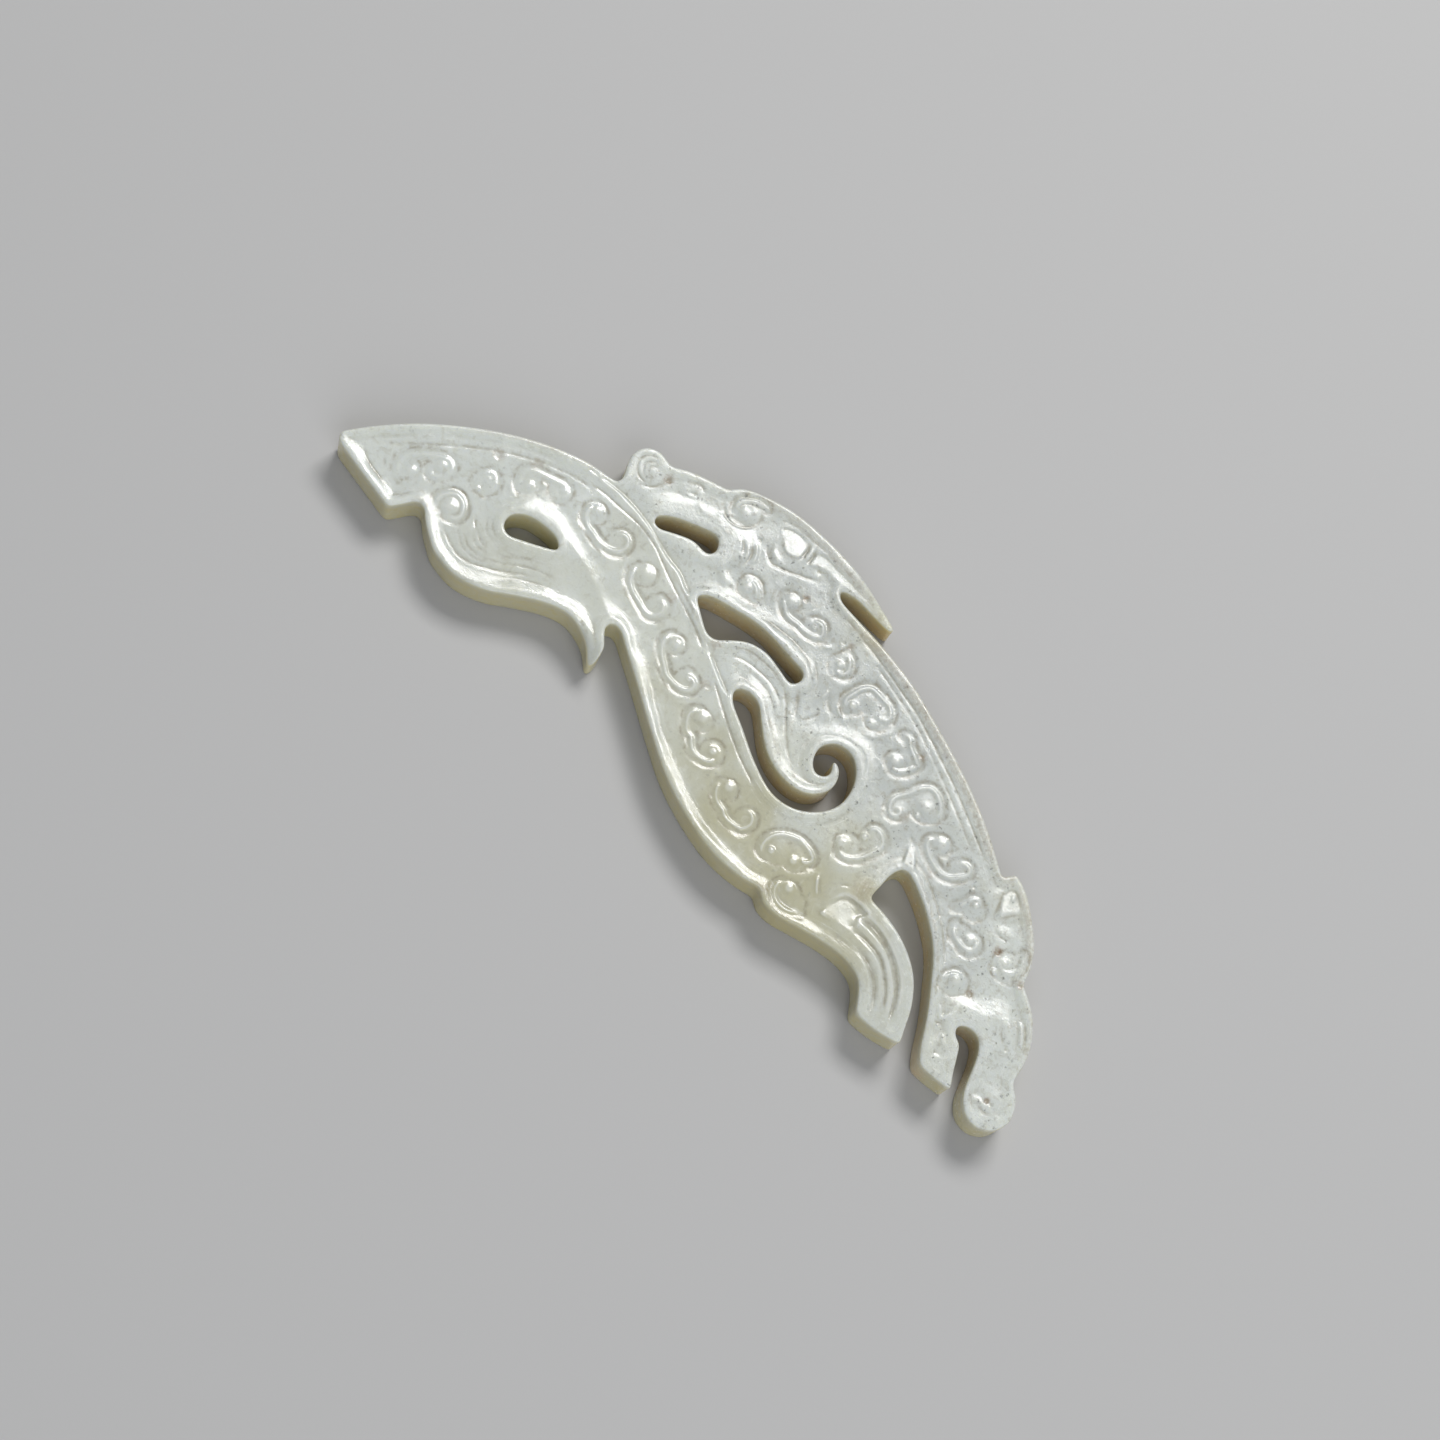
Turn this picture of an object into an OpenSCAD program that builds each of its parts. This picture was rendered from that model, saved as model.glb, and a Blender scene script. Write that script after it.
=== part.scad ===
// A jade huang: an arc-shaped openwork plaque, cut from one slab of pale stone.
// The carved face looks up (+Z) and the plain back lies on z = 0.
// The long axis runs along X, from the cut tail (-X) to the dragon's snout (+X).
// The outline and the carving are charted in millimetres at the length chart_l,
// and the whole chart is scaled to plaque_l.

/* [Plaque] */
// Length from the tail tip to the snout
plaque_l = 106.4; // [85:0.1:130]
// Thickness from the plain back to the top of the rims
plaque_t = 5; // [3.5:0.1:7]

/* [Carving] */
// Depth of the ground below the rims and the scrolls
ground_d = 0.3; // [0.1:0.05:0.6]
// Depth of the engraved lines
line_d = 0.25; // [0.1:0.05:0.5]
// Half the width of an engraved line
line_hw = 0.18; // [0.12:0.02:0.24]
// Half the width of a scroll's ridge
ridge_hw = 0.36; // [0.28:0.02:0.44]
// Radius of the knob at the end of a scroll
knob_r = 0.72; // [0.6:0.02:0.84]

/* [Detail] */
// Longest straight step along a curved edge
edge_step = 0.7; // [0.5:0.1:1.2]
// Number of passes that round the corners of the outline
polish_n = 1; // [1:1:3]

/* [Hidden] */

jade = [0.83, 0.85, 0.79];
chart_l = 106.4;
k = plaque_l / chart_l;
// Overlap of a cutting tool past the face that it cuts
over = 1;
// Number of sides of a knob and of the eye
round_n = 24;
// Spiral lines: number of steps, turn of each step in degrees, and the share of
// the outer radius that each step loses
spiral_n = 10;
spiral_turn = 54;
spiral_loss = 0.07;

// Corners of the outline, x and y on the chart
tail_tip = [-53.3, 0.8];
neck = [-28.4, 20.8];
nose_top = [-25.8, 26.8];
brow_foot = [-19.5, 29.9];
horn_tip = [5.3, 33.05];
horn_heel = [5.0, 32.5];
ear_notch = [33.9, 21.5];
ear_tip = [34.6, 23.1];
fore_notch = [43.9, 14.6];
snout_notch = [50.7, 5.9];
lip = [43.7, 4.6];
chin = [46.6, 0.1];
heel = [42.2, -0.5];
claw_top = [25.3, 8.6];
claw_tip = [39.2, -0.5];
claw_heel = [33.4, -1.8];
foot_notch = [16.3, 0.1];
barb_tip = [-14.95, 3.55];
barb_edge = [-14.6, 4.2];
wing_notch = [-40.6, 2.4];
tail_notch = [-41.2, 2.3];
tail_heel = [-43.0, -1.0];
tail_toe = [-52.8, 0.2];

// Stretches of the outline between its corners, clockwise seen from the front,
// each a smooth curve through points x, y
tail_back = [
    tail_tip, [-51.2, 4.3], [-48.5, 8], [-45, 11.7], [-40.5, 15.5], [-36, 18.3],
    [-32, 20], neck
];
nose_curl = [
    neck, [-28.4, 21.8], [-29.4, 23.4], [-29.8, 25], [-29.2, 26.4], [-27.7, 27.1],
    nose_top
];
muzzle = [nose_top, [-24.3, 27.9], [-22, 29], brow_foot];
crown = [
    brow_foot, [-18.4, 31.4], [-16, 32.7], [-12.5, 33.9], [-7, 34.5], [-1, 34.3],
    [3, 33.65], [4.4, 33.4], horn_tip
];
horn_end = [horn_tip, horn_heel];
horn_slot = [
    horn_heel, [2.5, 32.35], [-0.6, 32.1], [-2.2, 31.3], [-1.5, 30.6], [1, 30.4]
];
arch_top = [
    [1, 30.4], [6, 30.3], [11, 29.8], [16, 28.6], [22, 26.9], [28, 24.6], ear_notch
];
ear_front = [ear_notch, ear_tip];
ear_back = [
    ear_tip, [36.9, 22.3], [39.5, 20.6], [41.8, 18.6], [43.2, 16.6], fore_notch
];
forehead = [fore_notch, [46.5, 13.3], [48.8, 11.1], [50.1, 8.6], snout_notch];
snout = [
    snout_notch, [52.4, 4.7], [53.5, 2.4], [52.8, 0.3], [51.2, -0.7], [49.3, -0.5],
    [47.8, 0.9], [46.9, 2.8]
];
mouth_gap = [
    [46.9, 2.8], [46, 4.9], [44.7, 6.5], [43.1, 6.6], [42.1, 5.7], [42.7, 4.8], lip
];
jaw = [lip, [44.6, 3.1], [45.5, 1.6], chin];
jaw_foot = [chin, [44.3, -0.3], heel];
leg_in = [heel, [41, 0.9], [39, 4], [36.9, 6.7], [34, 10], [30.5, 12.3], [27.5, 13.6]];
leg_notch = [[27.5, 13.6], [25.8, 13.9], [25.1, 12.6], [25.2, 10.5], claw_top];
claw_out = [
    claw_top, [28.4, 8.5], [31.6, 7.8], [34.8, 6.1], [37.1, 3.5], [38.5, 0.8], claw_tip
];
claw_end = [claw_tip, [36.3, -1.4], claw_heel];
claw_in = [
    claw_heel, [32.4, -0.4], [30.8, 1.2], [28.6, 1.65], [25.5, 1.2], [22, 0.1],
    [19.5, -0.7], [17.6, -0.7], foot_notch
];
band_foot = [
    foot_notch, [14, -0.6], [10, -1], [5, -0.3], [0, 1.2], [-5, 3.6], [-10, 6.2],
    [-14, 8.2]
];
barb_gap = [
    [-14, 8.2], [-15.6, 8.95], [-16.6, 8.8], [-16.8, 7.9], [-15.9, 6.9], [-15.1, 6.1],
    [-14.8, 5.2], barb_edge
];
barb_end = [barb_edge, barb_tip];
wing_foot = [
    barb_tip, [-17.2, 5.2], [-20.5, 5.8], [-23, 4.9], [-26, 2.8], [-29, 0.5],
    [-32.5, -0.8], [-36, -0.6]
];
wing_toe = [[-36, -0.6], [-39.1, 1.1], wing_notch];
tail_cut = [tail_notch, tail_heel];
tail_end = [tail_heel, tail_toe];

stretches = [
    tail_back, nose_curl, muzzle, crown, horn_end, horn_slot, arch_top, ear_front, ear_back,
    forehead, snout, mouth_gap, jaw, jaw_foot, leg_in, leg_notch, claw_out, claw_end,
    claw_in, band_foot, barb_gap, barb_end, wing_foot, wing_toe, tail_cut, tail_end
];

// Openings through the plaque, each a closed smooth curve through points x, y
wing_hole = [
    [-33.4, 8.8], [-32.4, 10.1], [-30, 10.9], [-27.9, 10.9], [-26.9, 10.1],
    [-28.2, 9.1], [-30.2, 7.9], [-32, 7.0], [-33.1, 7.5]
];
head_mouth = [
    [-22.5, 21.5], [-21.2, 22.8], [-19, 24], [-17, 24.9], [-16, 25], [-15, 23.6],
    [-15.5, 22.7], [-17.6, 22.6], [-20, 21.4], [-21.4, 20.6], [-22.3, 20.8]
];
long_slot = [
    [-12.6, 18.4], [-11.9, 19.3], [-9, 20.4], [-5, 21.4], [0, 21.35], [1.9, 21.2],
    [2.4, 20.3], [1.8, 19.2], [0, 19.4], [-2.6, 19.65], [-4.8, 19.0], [-6.4, 17.6],
    [-7.6, 16.3], [-8.6, 16.1], [-11, 17.3]
];
spiral_slot = [
    [-1.9, 13.9], [-1.2, 12.9], [2, 11.4], [6, 9.6], [9.6, 8.7], [12.5, 9.4],
    [14.8, 11.6], [15.55, 14], [14.65, 16.9], [12.5, 18.6], [10.4, 18.3], [9.3, 16.7],
    [9.9, 14.8], [11.1, 14], [12.15, 14.6], [12.3, 15.4], [11.6, 16.15], [11.45, 16.6],
    [12.2, 16.6], [13.1, 15.8], [13.6, 14.2], [12.85, 12.3], [11, 11.1], [8, 10.9], [5.2, 11.8],
    [2.8, 13.5], [0.8, 14.9], [-1.1, 14.8]
];
openings = [wing_hole, head_mouth, long_slot, spiral_slot];

// Ground sunk between the rims, each a closed smooth curve through points x, y
band_ground = [
    [-50, 2.9], [-45.8, 8.2], [-41, 12.6], [-36.5, 15.9], [-32, 18.1], [-27, 18.8],
    [-21.7, 18.7], [-15.5, 17.1], [-9.5, 14.9], [-4, 11.8], [1.5, 9.3], [6.7, 7.6],
    [11.5, 7.4], [15.2, 8.8], [17.4, 12], [17.6, 15.6], [20.6, 16], [23.3, 14.2],
    [23.5, 9.5], [21.6, 5.8], [21.9, 1.6], [18.6, 0.6], [15.6, 2], [13, 1.2], [8, 0.9],
    [2, 2.6], [-4, 5.1], [-10, 8], [-16, 10.8], [-21, 12.9], [-27, 13.2], [-32, 11.6],
    [-36, 7.6], [-40, 5.3], [-42.6, 3.2], [-43.8, 0.8], [-48, 1.5]
];
arch_ground = [
    [-6.9, 24.6], [-5.6, 27.8], [-1, 28.6], [8, 28.1], [16, 26.4], [24, 23.8],
    [30.6, 20.8], [34.2, 16.6], [31, 14.2], [25.4, 15.9], [20.4, 16.9], [16.3, 19.4],
    [12, 21.2], [6, 21.6], [1.5, 23.2], [-4, 23.2]
];
grounds = [band_ground, arch_ground];

// C-shaped scrolls: knob x, knob y, other knob x, other knob y, depth of the back
// to the right of the way from the first knob to the other
scrolls = [
    [-42.5, 7.8, -44.7, 4.0, 1.7],
    [-37.6, 10.4, -38.4, 7.9, 1.2],
    [-31.5, 15.6, -35.0, 13.0, 1.6],
    [-27.4, 16.8, -23.1, 16.5, 2.2],
    [-18.2, 16.0, -14.7, 14.4, 2.2],
    [-10.0, 12.8, -6.1, 10.8, 2.2],
    [-1.9, 8.8, 1.6, 7.2, 2.0],
    [5.9, 5.7, 9.5, 4.9, 1.9],
    [17.0, 6.2, 14.1, 4.2, 1.8],
    [18.2, 2.6, 20.6, 2.4, 1.4],
    [18.9, 10.7, 20.3, 14.2, 1.7],
    [-5.0, 26.3, -0.8, 26.2, 2.2],
    [3.9, 23.5, 4.0, 25.9, 1.6],
    [11.3, 23.0, 8.0, 22.7, 2.7],
    [15.6, 24.4, 16.2, 21.9, -1.8],
    [22.4, 20.8, 20.3, 18.0, 1.9],
    [26.6, 19.2, 30.4, 19.0, 2.1]
];

// Spiral scrolls engraved on the heads and the wing: centre x, centre y, outer radius
spirals = [
    [-26.8, 25.2, 1.9],
    [-16.3, 29.4, 2.2],
    [-9.3, 24.2, 1.9],
    [-38.6, 5.0, 1.6],
    [40.6, 14.6, 2.0],
    [38.8, 9.2, 1.9],
    [50.6, 1.9, 1.9]
];

// Engraved lines, each a smooth curve through points x, y
brow_line = [[-20, 26.1], [-17.6, 26.4], [-15.2, 26.2]];
eye_line = [[-12.4, 30.6], [-10.4, 29.6], [-8.2, 30.2], [-7.6, 32.2]];
crest_line = [[-6.3, 29.6], [-6.2, 31.5], [-7.2, 33.4]];
hair_line = [[-13.2, 27.6], [-12.2, 26], [-12.6, 23.4], [-11.4, 21.8]];
leaf_outer = [[-6.4, 16], [-4.4, 17.8], [-1, 18.4], [2, 17.4], [5, 14.8], [8.5, 12.9]];
leaf_inner = [[-5, 15.2], [-2.6, 16.6], [0.4, 16.8], [3.4, 15.2], [6.6, 12.9]];
wing_hair_a = [[-35.4, 5.8], [-33.6, 4.4], [-31, 4.2], [-28, 5.8], [-25, 7.6]];
wing_hair_b = [[-35.8, 3.6], [-33.4, 2.4], [-30.6, 2.5], [-27.4, 4.4], [-24, 6.8]];
wing_rim = [
    [-38.6, 2.8], [-36, 1.2], [-33, 0.9], [-30, 1.7], [-27, 3.8], [-23.4, 6.8],
    [-20, 7.6]
];
ear_line = [[36.4, 21.2], [38, 19.4], [38.6, 17.6]];
cheek_line = [[33.4, 17.4], [32.9, 15.6], [34.6, 13.4], [36.8, 13.4]];
chevron = [[37.9, 7.2], [39.8, 5.6], [41.8, 7.8]];
leg_rim = [[26.6, 15.4], [30.6, 13.7], [35.2, 10.4], [38.6, 6.2], [41.2, 2.4]];
claw_a = [[24.6, 6.8], [28.4, 7.2], [32, 6.2], [35, 3.6], [36.8, 0.6]];
claw_b = [[24.8, 5.2], [28.4, 5.6], [31.4, 4.8], [34, 2.4], [35.4, 0]];
claw_c = [[24.8, 3.6], [28.2, 3.9], [30.8, 3.1], [32.8, 1.4]];
lines = [
    brow_line, eye_line, crest_line, hair_line, leaf_outer, leaf_inner, wing_hair_a,
    wing_hair_b, wing_rim, ear_line, cheek_line, chevron, leg_rim, claw_a, claw_b, claw_c
];

// Eye of the right head: centre x, centre y, half length, half width, turn
eye = [46.6, 9.4, 1.7, 0.75, -50];

// Smooth curve through given points, without its last point
function knot(a, b) = sqrt(norm(b - a));
function slope(a, b, c) =
    (b - a) / knot(a, b) - (c - a) / (knot(a, b) + knot(b, c)) + (c - b) / knot(b, c);
function blend(a, b, ma, mb, h, t) =
    (2 * t * t * t - 3 * t * t + 1) * a + (t * t * t - 2 * t * t + t) * h * ma
    + (3 * t * t - 2 * t * t * t) * b + (t * t * t - t * t) * h * mb;
function span(a, b, ma, mb, step) =
    let (n = max(1, ceil(norm(b - a) / step)))
    [for (j = [0:n - 1]) blend(a, b, ma, mb, knot(a, b), j / n)];
function end_slope(a, b) = (b - a) / knot(a, b);
function slope_at(p, i) =
    i == 0 ? end_slope(p[0], p[1])
    : i == len(p) - 1 ? end_slope(p[i - 1], p[i])
    : slope(p[i - 1], p[i], p[i + 1]);
function curve(p, step) = [
    for (i = [0:len(p) - 2])
        each span(p[i], p[i + 1], slope_at(p, i), slope_at(p, i + 1), step)
];
function open_curve(p, step) = concat(curve(p, step), [p[len(p) - 1]]);

// Closed smooth curve through given points
function ring_slope(p, i) =
    let (n = len(p))
    slope(p[(i + n - 1) % n], p[i % n], p[(i + 1) % n]);
function closed_curve(p, step) = [
    for (i = [0:len(p) - 1])
        each span(p[i], p[(i + 1) % len(p)], ring_slope(p, i), ring_slope(p, i + 1), step)
];

// Rounds the corners of a closed run of points, a little more with each pass
function polish(p, passes) =
    passes == 0 ? p
    : polish([for (i = [0:len(p) - 1])
        (p[(i + len(p) - 1) % len(p)] + 2 * p[i] + p[(i + 1) % len(p)]) / 4], passes - 1);

// Middle of the outline's box, moved to the origin
raw_outline = polish([for (s = stretches) each curve(s, edge_step)], polish_n);
function middle(p, axis) = let (v = [for (q = p) q[axis]]) (min(v) + max(v)) / 2;
centre = [middle(raw_outline, 0), middle(raw_outline, 1)];
function placed(p) = [for (q = p) k * (q - centre)];

// Strip of even width along an open run of points
function along(p, i) = p[min(i + 1, len(p) - 1)] - p[max(i - 1, 0)];
function across(p, i) = let (d = along(p, i)) [-d[1], d[0]] / norm(d);
function strip(p, hw) = concat(
    [for (i = [0:len(p) - 1]) p[i] + hw * across(p, i)],
    [for (i = [len(p) - 1:-1:0]) p[i] - hw * across(p, i)]
);

// Back of a C-shaped scroll, from the outer side of one knob round to the other's
function scroll_line(s) =
    let (
        a = [s[0], s[1]],
        b = [s[2], s[3]],
        u = (b - a) / norm(b - a),
        v = sign(s[4]) * [u[1], -u[0]],
        bow = abs(s[4])
    )
    [
        a - 0.5 * u - 0.2 * v,
        a - 0.8 * u + 0.45 * bow * v,
        a + 0.2 * u + 0.9 * bow * v,
        (a + b) / 2 + 1.05 * bow * v,
        b - 0.2 * u + 0.9 * bow * v,
        b + 0.8 * u + 0.45 * bow * v,
        b + 0.5 * u - 0.2 * v
    ];

// Spiral line of one and a half turns round a centre
function spiral_line(s) = [
    for (i = [0:spiral_n])
        let (turn = spiral_turn * i, r = s[2] * (1 - spiral_loss * i))
        [s[0] + r * cos(turn), s[1] + r * sin(turn)]
];

module charted(points) {
    polygon(placed(points));
}

module slab() {
    linear_extrude(plaque_t) difference() {
        charted(raw_outline);
        for (hole = openings) charted(polish(closed_curve(hole, edge_step), 1));
    }
}

module scroll_ridge(s) {
    charted(strip(open_curve(scroll_line(s), edge_step), ridge_hw));
    for (at = placed([[s[0], s[1]], [s[2], s[3]]])) translate(at) circle(r = k * knob_r, $fn = round_n);
}

module sunk_ground() {
    translate([0, 0, plaque_t - ground_d]) linear_extrude(ground_d + over) difference() {
        for (g = grounds) charted(closed_curve(g, 2 * edge_step));
        for (s = scrolls) scroll_ridge(s);
    }
}

module engraved(points) {
    translate([0, 0, plaque_t - line_d]) linear_extrude(line_d + over)
        charted(strip(open_curve(points, edge_step), line_hw));
}

module eye_groove() {
    at = placed([[eye[0], eye[1]]])[0];
    translate([at[0], at[1], plaque_t - line_d]) rotate([0, 0, eye[4]])
        linear_extrude(line_d + over) difference() {
            oval(eye[2] + line_hw, eye[3] + line_hw);
            oval(eye[2] - line_hw, eye[3] - line_hw);
        }
}

module oval(half_l, half_w) {
    step = 360 / round_n;
    polygon([for (turn = [0:step:359]) k * [half_l * cos(turn), half_w * sin(turn)]]);
}

module plaque() {
    color(jade) difference() {
        slab();
        sunk_ground();
        for (s = spirals) engraved(spiral_line(s));
        for (l = lines) engraved(l);
        eye_groove();
    }
}

plaque();
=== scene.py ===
"""Jade huang: the carved plaque, its stone and the light on it.

The carving is charted in millimetres, x along the chord from the cut tail to
the snout and y towards the convex edge. The chart's middle lies on the frame's
origin. The relief is a height map that the lines below are drawn into, and the
plaque's skin is one closed mesh that is fine where the relief bends.
"""
import math
import bpy
import numpy as np
from mathutils import Matrix, Vector
from mathutils.geometry import delaunay_2d_cdt


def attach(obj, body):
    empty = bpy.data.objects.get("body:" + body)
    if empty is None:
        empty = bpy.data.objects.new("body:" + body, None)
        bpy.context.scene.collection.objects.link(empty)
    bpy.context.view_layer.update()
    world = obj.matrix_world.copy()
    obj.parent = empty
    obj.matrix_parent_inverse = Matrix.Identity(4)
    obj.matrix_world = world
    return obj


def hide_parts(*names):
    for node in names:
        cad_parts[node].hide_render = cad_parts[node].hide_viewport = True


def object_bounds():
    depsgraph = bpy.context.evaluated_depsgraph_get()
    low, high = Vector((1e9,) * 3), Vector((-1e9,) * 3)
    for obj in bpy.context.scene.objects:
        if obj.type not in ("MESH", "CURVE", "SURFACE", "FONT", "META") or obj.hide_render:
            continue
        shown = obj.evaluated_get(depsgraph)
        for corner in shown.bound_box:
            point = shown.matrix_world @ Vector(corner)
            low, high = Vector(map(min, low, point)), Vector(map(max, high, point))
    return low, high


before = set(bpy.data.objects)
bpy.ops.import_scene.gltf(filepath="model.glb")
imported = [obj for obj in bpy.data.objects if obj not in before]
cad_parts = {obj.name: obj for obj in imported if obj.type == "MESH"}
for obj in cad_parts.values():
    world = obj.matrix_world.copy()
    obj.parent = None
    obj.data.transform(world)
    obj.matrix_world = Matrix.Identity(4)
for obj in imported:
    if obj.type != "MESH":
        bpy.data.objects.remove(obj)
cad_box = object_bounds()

MM = 0.001
THICK = round((cad_box[1][2] - cad_box[0][2]) / MM, 3)  # from the back to the top of the rims
CENTRE = (0.2525, 16.3968)  # the chart's middle

# Camera
CAM_AT = (0.027794, -0.112793, 0.320206)
CAM_RIGHT = (0.68502, 0.70674, 0.17683)
CAM_UP = (-0.72351, 0.63152, 0.27878)
CAM_BACK = (0.08535, -0.31891, 0.94394)
CAM_LENS, CAM_SENSOR = 75.0, 36.0


def make_camera():
    data = bpy.data.cameras.new("camera")
    data.lens, data.sensor_width, data.sensor_height = CAM_LENS, CAM_SENSOR, CAM_SENSOR
    data.sensor_fit = "HORIZONTAL"
    data.clip_start, data.clip_end = 0.01, 20.0
    obj = bpy.data.objects.new("camera", data)
    bpy.context.scene.collection.objects.link(obj)
    turn = Matrix((CAM_RIGHT, CAM_UP, CAM_BACK)).transposed().to_4x4()
    obj.matrix_world = Matrix.Translation(CAM_AT) @ turn
    bpy.context.scene.camera = obj


make_camera()


# Outline
LOOP_STEP, LOOP_PASSES = 0.22, 10  # spacing along the edges, and passes that round their corners
TAIL_TIP, NECK, NOSE_TOP, BROW_FOOT = (-53.3, 0.8), (-28.4, 20.8), (-25.8, 26.8), (-19.5, 29.9)
HORN_TIP, HORN_HEEL, EAR_NOTCH, EAR_TIP = (5.3, 33.05), (5.0, 32.5), (33.9, 21.5), (34.6, 23.1)
FORE_NOTCH, SNOUT_NOTCH, LIP, CHIN, HEEL = (43.9, 14.6), (50.7, 5.9), (43.7, 4.6), (46.6, 0.1), (42.2, -0.5)
CLAW_TOP, CLAW_TIP, CLAW_HEEL, FOOT_NOTCH = (25.3, 8.6), (39.2, -0.5), (33.4, -1.8), (16.3, 0.1)
BARB_EDGE, BARB_TIP, WING_NOTCH, TAIL_NOTCH = (-14.6, 4.2), (-14.95, 3.55), (-40.6, 2.4), (-41.2, 2.3)
TAIL_HEEL, TAIL_TOE = (-43.0, -1.0), (-52.8, 0.2)
STRETCHES = [
    [TAIL_TIP, (-51.2, 4.3), (-48.5, 8), (-45, 11.7), (-40.5, 15.5), (-36, 18.3), (-32, 20), NECK],
    [NECK, (-28.4, 21.8), (-29.4, 23.4), (-29.8, 25), (-29.2, 26.4), (-27.7, 27.1), NOSE_TOP],
    [NOSE_TOP, (-24.3, 27.9), (-22, 29), BROW_FOOT],
    [BROW_FOOT, (-18.4, 31.4), (-16, 32.7), (-12.5, 33.9), (-7, 34.5), (-1, 34.3), (3, 33.65), (4.4, 33.4),
      HORN_TIP],
    [HORN_TIP, HORN_HEEL],
    [HORN_HEEL, (2.5, 32.35), (-0.6, 32.1), (-2.2, 31.3), (-1.5, 30.6), (1, 30.4)],
    [(1, 30.4), (6, 30.3), (11, 29.8), (16, 28.6), (22, 26.9), (28, 24.6), EAR_NOTCH],
    [EAR_NOTCH, EAR_TIP],
    [EAR_TIP, (36.9, 22.3), (39.5, 20.6), (41.8, 18.6), (43.2, 16.6), FORE_NOTCH],
    [FORE_NOTCH, (46.5, 13.3), (48.8, 11.1), (50.1, 8.6), SNOUT_NOTCH],
    [SNOUT_NOTCH, (52.4, 4.7), (53.5, 2.4), (52.8, 0.3), (51.2, -0.7), (49.3, -0.5), (47.8, 0.9),
      (46.9, 2.8)],
    [(46.9, 2.8), (46, 4.9), (44.7, 6.5), (43.1, 6.6), (42.1, 5.7), (42.7, 4.8), LIP],
    [LIP, (44.6, 3.1), (45.5, 1.6), CHIN],
    [CHIN, (44.3, -0.3), HEEL],
    [HEEL, (41, 0.9), (39, 4), (36.9, 6.7), (34, 10), (30.5, 12.3), (27.5, 13.6)],
    [(27.5, 13.6), (25.8, 13.9), (25.1, 12.6), (25.2, 10.5), CLAW_TOP],
    [CLAW_TOP, (28.4, 8.5), (31.6, 7.8), (34.8, 6.1), (37.1, 3.5), (38.5, 0.8), CLAW_TIP],
    [CLAW_TIP, (36.3, -1.4), CLAW_HEEL],
    [CLAW_HEEL, (32.4, -0.4), (30.8, 1.2), (28.6, 1.65), (25.5, 1.2), (22, 0.1), (19.5, -0.7), (17.6, -0.7),
      FOOT_NOTCH],
    [FOOT_NOTCH, (14, -0.6), (10, -1), (5, -0.3), (0, 1.2), (-5, 3.6), (-10, 6.2), (-14, 8.2)],
    [(-14, 8.2), (-15.6, 8.95), (-16.6, 8.8), (-16.8, 7.9), (-15.9, 6.9), (-15.1, 6.1), (-14.8, 5.2),
      BARB_EDGE],
    [BARB_EDGE, BARB_TIP],
    [BARB_TIP, (-17.2, 5.2), (-20.5, 5.8), (-23, 4.9), (-26, 2.8), (-29, 0.5), (-32.5, -0.8), (-36, -0.6)],
    [(-36, -0.6), (-39.1, 1.1), WING_NOTCH],
    [TAIL_NOTCH, TAIL_HEEL],
    [TAIL_HEEL, TAIL_TOE],
]
OPENINGS = [
    [(-33.4, 8.8), (-32.4, 10.1), (-30, 10.9), (-27.9, 10.9), (-26.9, 10.1), (-28.2, 9.1), (-30.2, 7.9),
      (-32, 7.0), (-33.1, 7.5)],
    [(-22.5, 21.5), (-21.2, 22.8), (-19, 24), (-17, 24.9), (-16, 25), (-15, 23.6), (-15.5, 22.7),
      (-17.6, 22.6), (-20, 21.4), (-21.4, 20.6), (-22.3, 20.8)],
    [(-12.6, 18.4), (-11.9, 19.3), (-9, 20.4), (-5, 21.4), (0, 21.35), (1.9, 21.2), (2.4, 20.3), (1.8, 19.2),
      (0, 19.4), (-2.6, 19.65), (-4.8, 19.0), (-6.4, 17.6), (-7.6, 16.3), (-8.6, 16.1), (-11, 17.3)],
    [(-1.9, 13.9), (-1.2, 12.9), (2, 11.4), (6, 9.6), (9.6, 8.7), (12.5, 9.4), (14.8, 11.6), (15.55, 14),
      (14.65, 16.9), (12.5, 18.6), (10.4, 18.3), (9.3, 16.7), (9.9, 14.8), (11.1, 14), (12.15, 14.6),
      (12.3, 15.4), (11.6, 16.15), (11.45, 16.6), (12.2, 16.6), (13.1, 15.8), (13.6, 14.2), (12.85, 12.3),
      (11, 11.1), (8, 10.9), (5.2, 11.8), (2.8, 13.5), (0.8, 14.9), (-1.1, 14.8)],
]

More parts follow.
